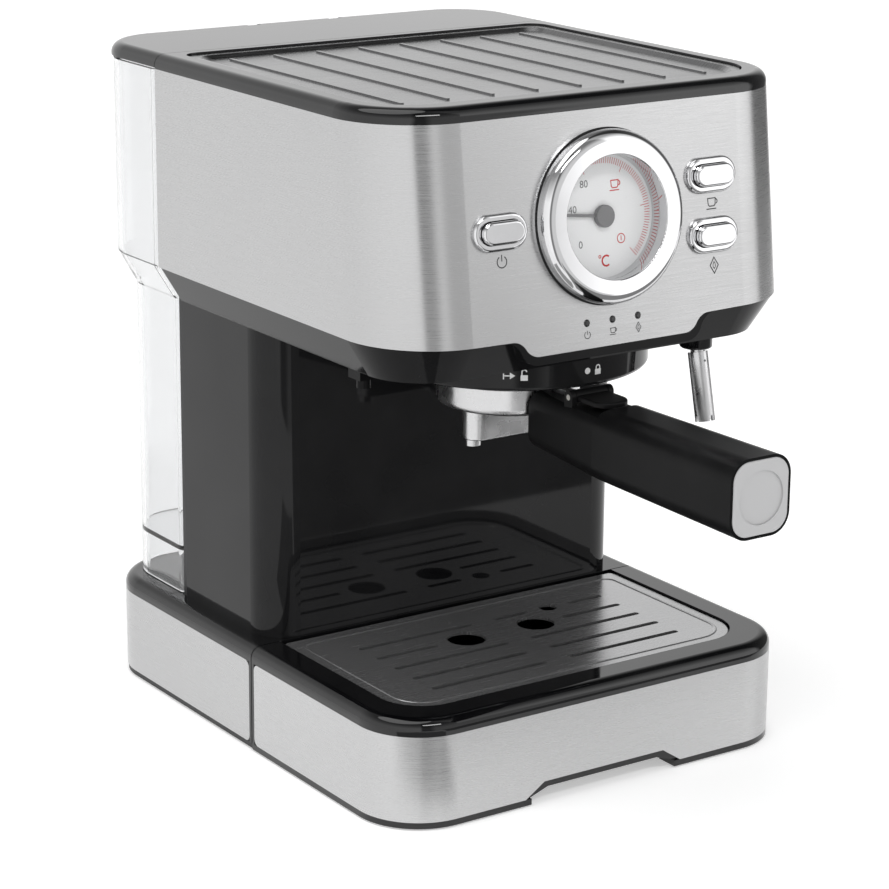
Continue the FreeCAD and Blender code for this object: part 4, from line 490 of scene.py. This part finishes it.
hot = Print("dial_hot_band", ink_red, "machine", "dial_print", on_dial)
for value in range(80, 201, 2):
    tick(hot, value, 19.4 if value % 40 == 0 else 21.4, 24.0, 0.26)
hot.cup(6.8, 11.9, 5.2, 0.45)
hot.arc(8.8, -10.0, 1.9, 0, 360, 0.4)
hot.line([(8.8, -10.9), (8.8, -8.9)], 0.4)
hot.arc(-2.4, -16.4, 0.55, 0, 360, 0.35, 12)
hot.arc(0.8, -18.3, 2.1, 50, 310, 0.75)
hot.done()

# Widths of the printed lines, and where the small marks under the lamps stand.
LINE = 0.42
FINE = 0.3
LAMP_STEP = 13
LAMP_ROW = 199.5

panel = Print("panel_symbols", ink_black, "machine", "brushed_steel", on_panel)
panel.power(-53, 233.7, 4.6, LINE)
panel.cup(54, 245.6, 5.6, LINE)
panel.steam(54, 220, 6.0, LINE)
panel.power(-LAMP_STEP, LAMP_ROW, 2.9, FINE)
panel.cup(0, LAMP_ROW, 3.4, FINE)
panel.steam(LAMP_STEP, LAMP_ROW, 3.6, FINE)
panel.done()


def round_gauge(x, y):
    """A point of the panel, by its distance from the gauge's middle."""
    return GAUGE + ACROSS * (x * MM) + UP * (y * MM) + OUT * INK


# Painted shade: a thin black ring printed on the panel round the gauge bezel stands in for the shadow in the
# narrow gap there.
gap_shade = Print("gauge_gap_shade", ink_black, "machine", "brushed_steel", round_gauge)
gap_shade.arc(0, 0, reach("gauge_bezel", GAUGE, ACROSS) / MM + 0.2, 0, 360, 0.8, 96)
gap_shade.done()


# The collar's marks: a row of signs, where the handle goes in and where it locks.
MARK_ROW = 180.1
MARK_LINE = 0.5
PADLOCK = 4.4

marks = Print("collar_symbols", ink_white, "machine", "gloss_black", on_collar)
marks.line([(-39, MARK_ROW - 1.5), (-39, MARK_ROW + 1.5)], MARK_LINE)
marks.line([(-39, MARK_ROW), (-35.6, MARK_ROW)], MARK_LINE)
marks.face([(-36.4, MARK_ROW - 1.4), (-34.2, MARK_ROW), (-36.4, MARK_ROW + 1.4)])
marks.padlock(-30.5, MARK_ROW - 0.1, PADLOCK, MARK_LINE, False)
marks.dot(-2.5, MARK_ROW, 1.35)
marks.padlock(2.8, MARK_ROW - 0.1, PADLOCK, MARK_LINE, True)
marks.done()

side = Print("knob_symbols", ink_black, "machine", "brushed_steel", on_knob_side)
side.steam(0, 27.5, 6.0, LINE)
side.arc(0, 0, 23.0, 60, 120, 0.5)
side.done()


# ---------------------------------------------------------------- floor, light and camera


def paper():
    """Pale paper that glows a little, so that it stays white."""
    made = Shader("floor_paper")
    made.set(Specular_IOR_Level=0.1)
    made.colours(made.noise((3, 3, 3)), (0.86, 0.86, 0.86), (0.88, 0.88, 0.88))
    made.roughness(made.spread(made.noise((40, 40, 40)), 0.75, 0.85))
    made.set(Emission_Color=(1, 1, 1, 1), Emission_Strength=0.41)
    return made.material


def sheet(name, left, right, front, back, z, finish):
    """A flat rectangle of the stage, level with or near the floor."""
    shape = bpy.data.meshes.new(name)
    corners = [(left, front, z), (right, front, z), (right, back, z), (left, back, z)]
    shape.from_pydata(corners, [], [(0, 1, 2, 3)])
    shape.materials.append(finish)
    made = bpy.data.objects.new(name, shape)
    SCENE.collection.objects.link(made)
    return made


def stage_floor():
    """Pale paper. The steel reflects only the near sheet of it; beyond that it sees the room's light."""
    finish = paper()
    sheet("floor_near", -1.2, 1.2, -0.5, 1.2, 0, finish)
    far = sheet("floor_far", -6, 6, -6, 6, -0.0003, finish)
    far.visible_glossy = False


def studio():
    """Soft room light: brightness by compass direction, so that the steel shows bright and dark bands."""
    world = bpy.data.worlds.new("studio")
    SCENE.world = world
    world.use_nodes = True
    tree = world.node_tree
    nodes, links = tree.nodes, tree.links
    place = nodes.new("ShaderNodeTexCoord")
    parts = nodes.new("ShaderNodeSeparateXYZ")
    links.new(place.outputs["Generated"], parts.inputs[0])
    flip = nodes.new("ShaderNodeMath")
    flip.operation = "MULTIPLY"
    flip.inputs[1].default_value = -1
    links.new(parts.outputs["Y"], flip.inputs[0])
    compass = nodes.new("ShaderNodeMath")
    compass.operation = "ARCTAN2"
    links.new(parts.outputs["X"], compass.inputs[0])
    links.new(flip.outputs[0], compass.inputs[1])
    share = nodes.new("ShaderNodeMapRange")
    share.inputs["From Min"].default_value = -math.pi
    share.inputs["From Max"].default_value = math.pi
    links.new(compass.outputs[0], share.inputs["Value"])
    ramp = nodes.new("ShaderNodeValToRGB")
    # Compass direction in degrees from the front, running to the right, and brightness.
    stops = [
        (-180, 0.42),
        (-140, 0.46),
        (-32, 0.56),
        (-26, 0.12),
        (-14, 0.12),
        (-4, 0.36),
        (35.2, 0.36),
        (35.5, 0.72),
        (42, 0.78),
        (64, 0.6),
        (74, 0.06),
        (115, 0.06),
        (140, 0.42),
        (180, 0.42),
    ]
    elements = ramp.color_ramp.elements
    for azimuth, level in stops[1:-1]:
        elements.new((azimuth + 180) / 360)
    for element, (azimuth, level) in zip(elements, stops):
        element.color = (level, level, level, 1)
    links.new(share.outputs[0], ramp.inputs["Fac"])
    # Bright near the horizon, dimmer overhead.
    ceiling = nodes.new("ShaderNodeMapRange")
    ceiling.inputs["From Min"].default_value = 0.35
    ceiling.inputs["From Max"].default_value = 0.75
    ceiling.inputs["To Min"].default_value = 2.4
    ceiling.inputs["To Max"].default_value = 0.7
    links.new(parts.outputs["Z"], ceiling.inputs["Value"])
    background = nodes["Background"]
    links.new(ceiling.outputs[0], background.inputs["Strength"])
    links.new(ramp.outputs["Color"], background.inputs["Color"])


def softbox(name, place, aim, width, height, power):
    """A rectangular lamp that faces its aim."""
    light = bpy.data.lights.new(name, "AREA")
    light.shape = "RECTANGLE"
    light.size, light.size_y = width, height
    light.energy = power
    made = bpy.data.objects.new(name, light)
    SCENE.collection.objects.link(made)
    made.location = place
    made.rotation_mode = "QUATERNION"
    made.rotation_quaternion = (Vector(aim) - Vector(place)).to_track_quat("-Z", "Y")


def sun(name, place, angle, power):
    """Even light from far off, with soft shadows."""
    light = bpy.data.lights.new(name, "SUN")
    light.angle = math.radians(angle)
    light.energy = power
    made = bpy.data.objects.new(name, light)
    SCENE.collection.objects.link(made)
    made.rotation_mode = "QUATERNION"
    made.rotation_quaternion = (-Vector(place)).to_track_quat("-Z", "Y")


def flag(name, left, right, front, back, level):
    """A dark card on the floor, which only reflections see, as a photographer uses to darken gloss."""
    card = Shader(name)
    card.colours(card.noise((3, 3, 3)), (level,) * 3, (level * 1.1,) * 3)
    card.set(Specular_IOR_Level=0.0)
    made = sheet(name, left, right, front, back, 0.004, card.material)
    made.visible_camera = False
    made.visible_diffuse = False
    made.visible_shadow = False
    made.visible_transmission = False


def camera(place, aim, roll, lens):
    """The picture's camera; the roll is in degrees."""
    data = bpy.data.cameras.new("camera")
    data.lens = lens
    made = bpy.data.objects.new("camera", data)
    SCENE.collection.objects.link(made)
    made.location = place
    made.rotation_mode = "QUATERNION"
    look = (Vector(aim) - Vector(place)).to_track_quat("-Z", "Y")
    made.rotation_quaternion = look @ Quaternion((0, 0, 1), math.radians(roll))
    SCENE.camera = made


SCENE.view_settings.view_transform = "Standard"
stage_floor()
studio()
sun("light_key", (-0.5, 0.25, 2.2), 50, 1.0)
softbox("light_front", (-0.2, -1.7, 2.0), (0, 0, 0.2), 1.1, 0.3, 12)
flag("flag_front", -0.04, 0.8, -0.85, -0.238, 0.3)
flag("flag_corner", -0.24, -0.06, -0.32, -0.15, 0.42)
camera(place=(-0.6998, -1.0322, 0.4838), aim=(-0.0131, -0.0231, 0.1284), roll=0.48, lens=117.2)
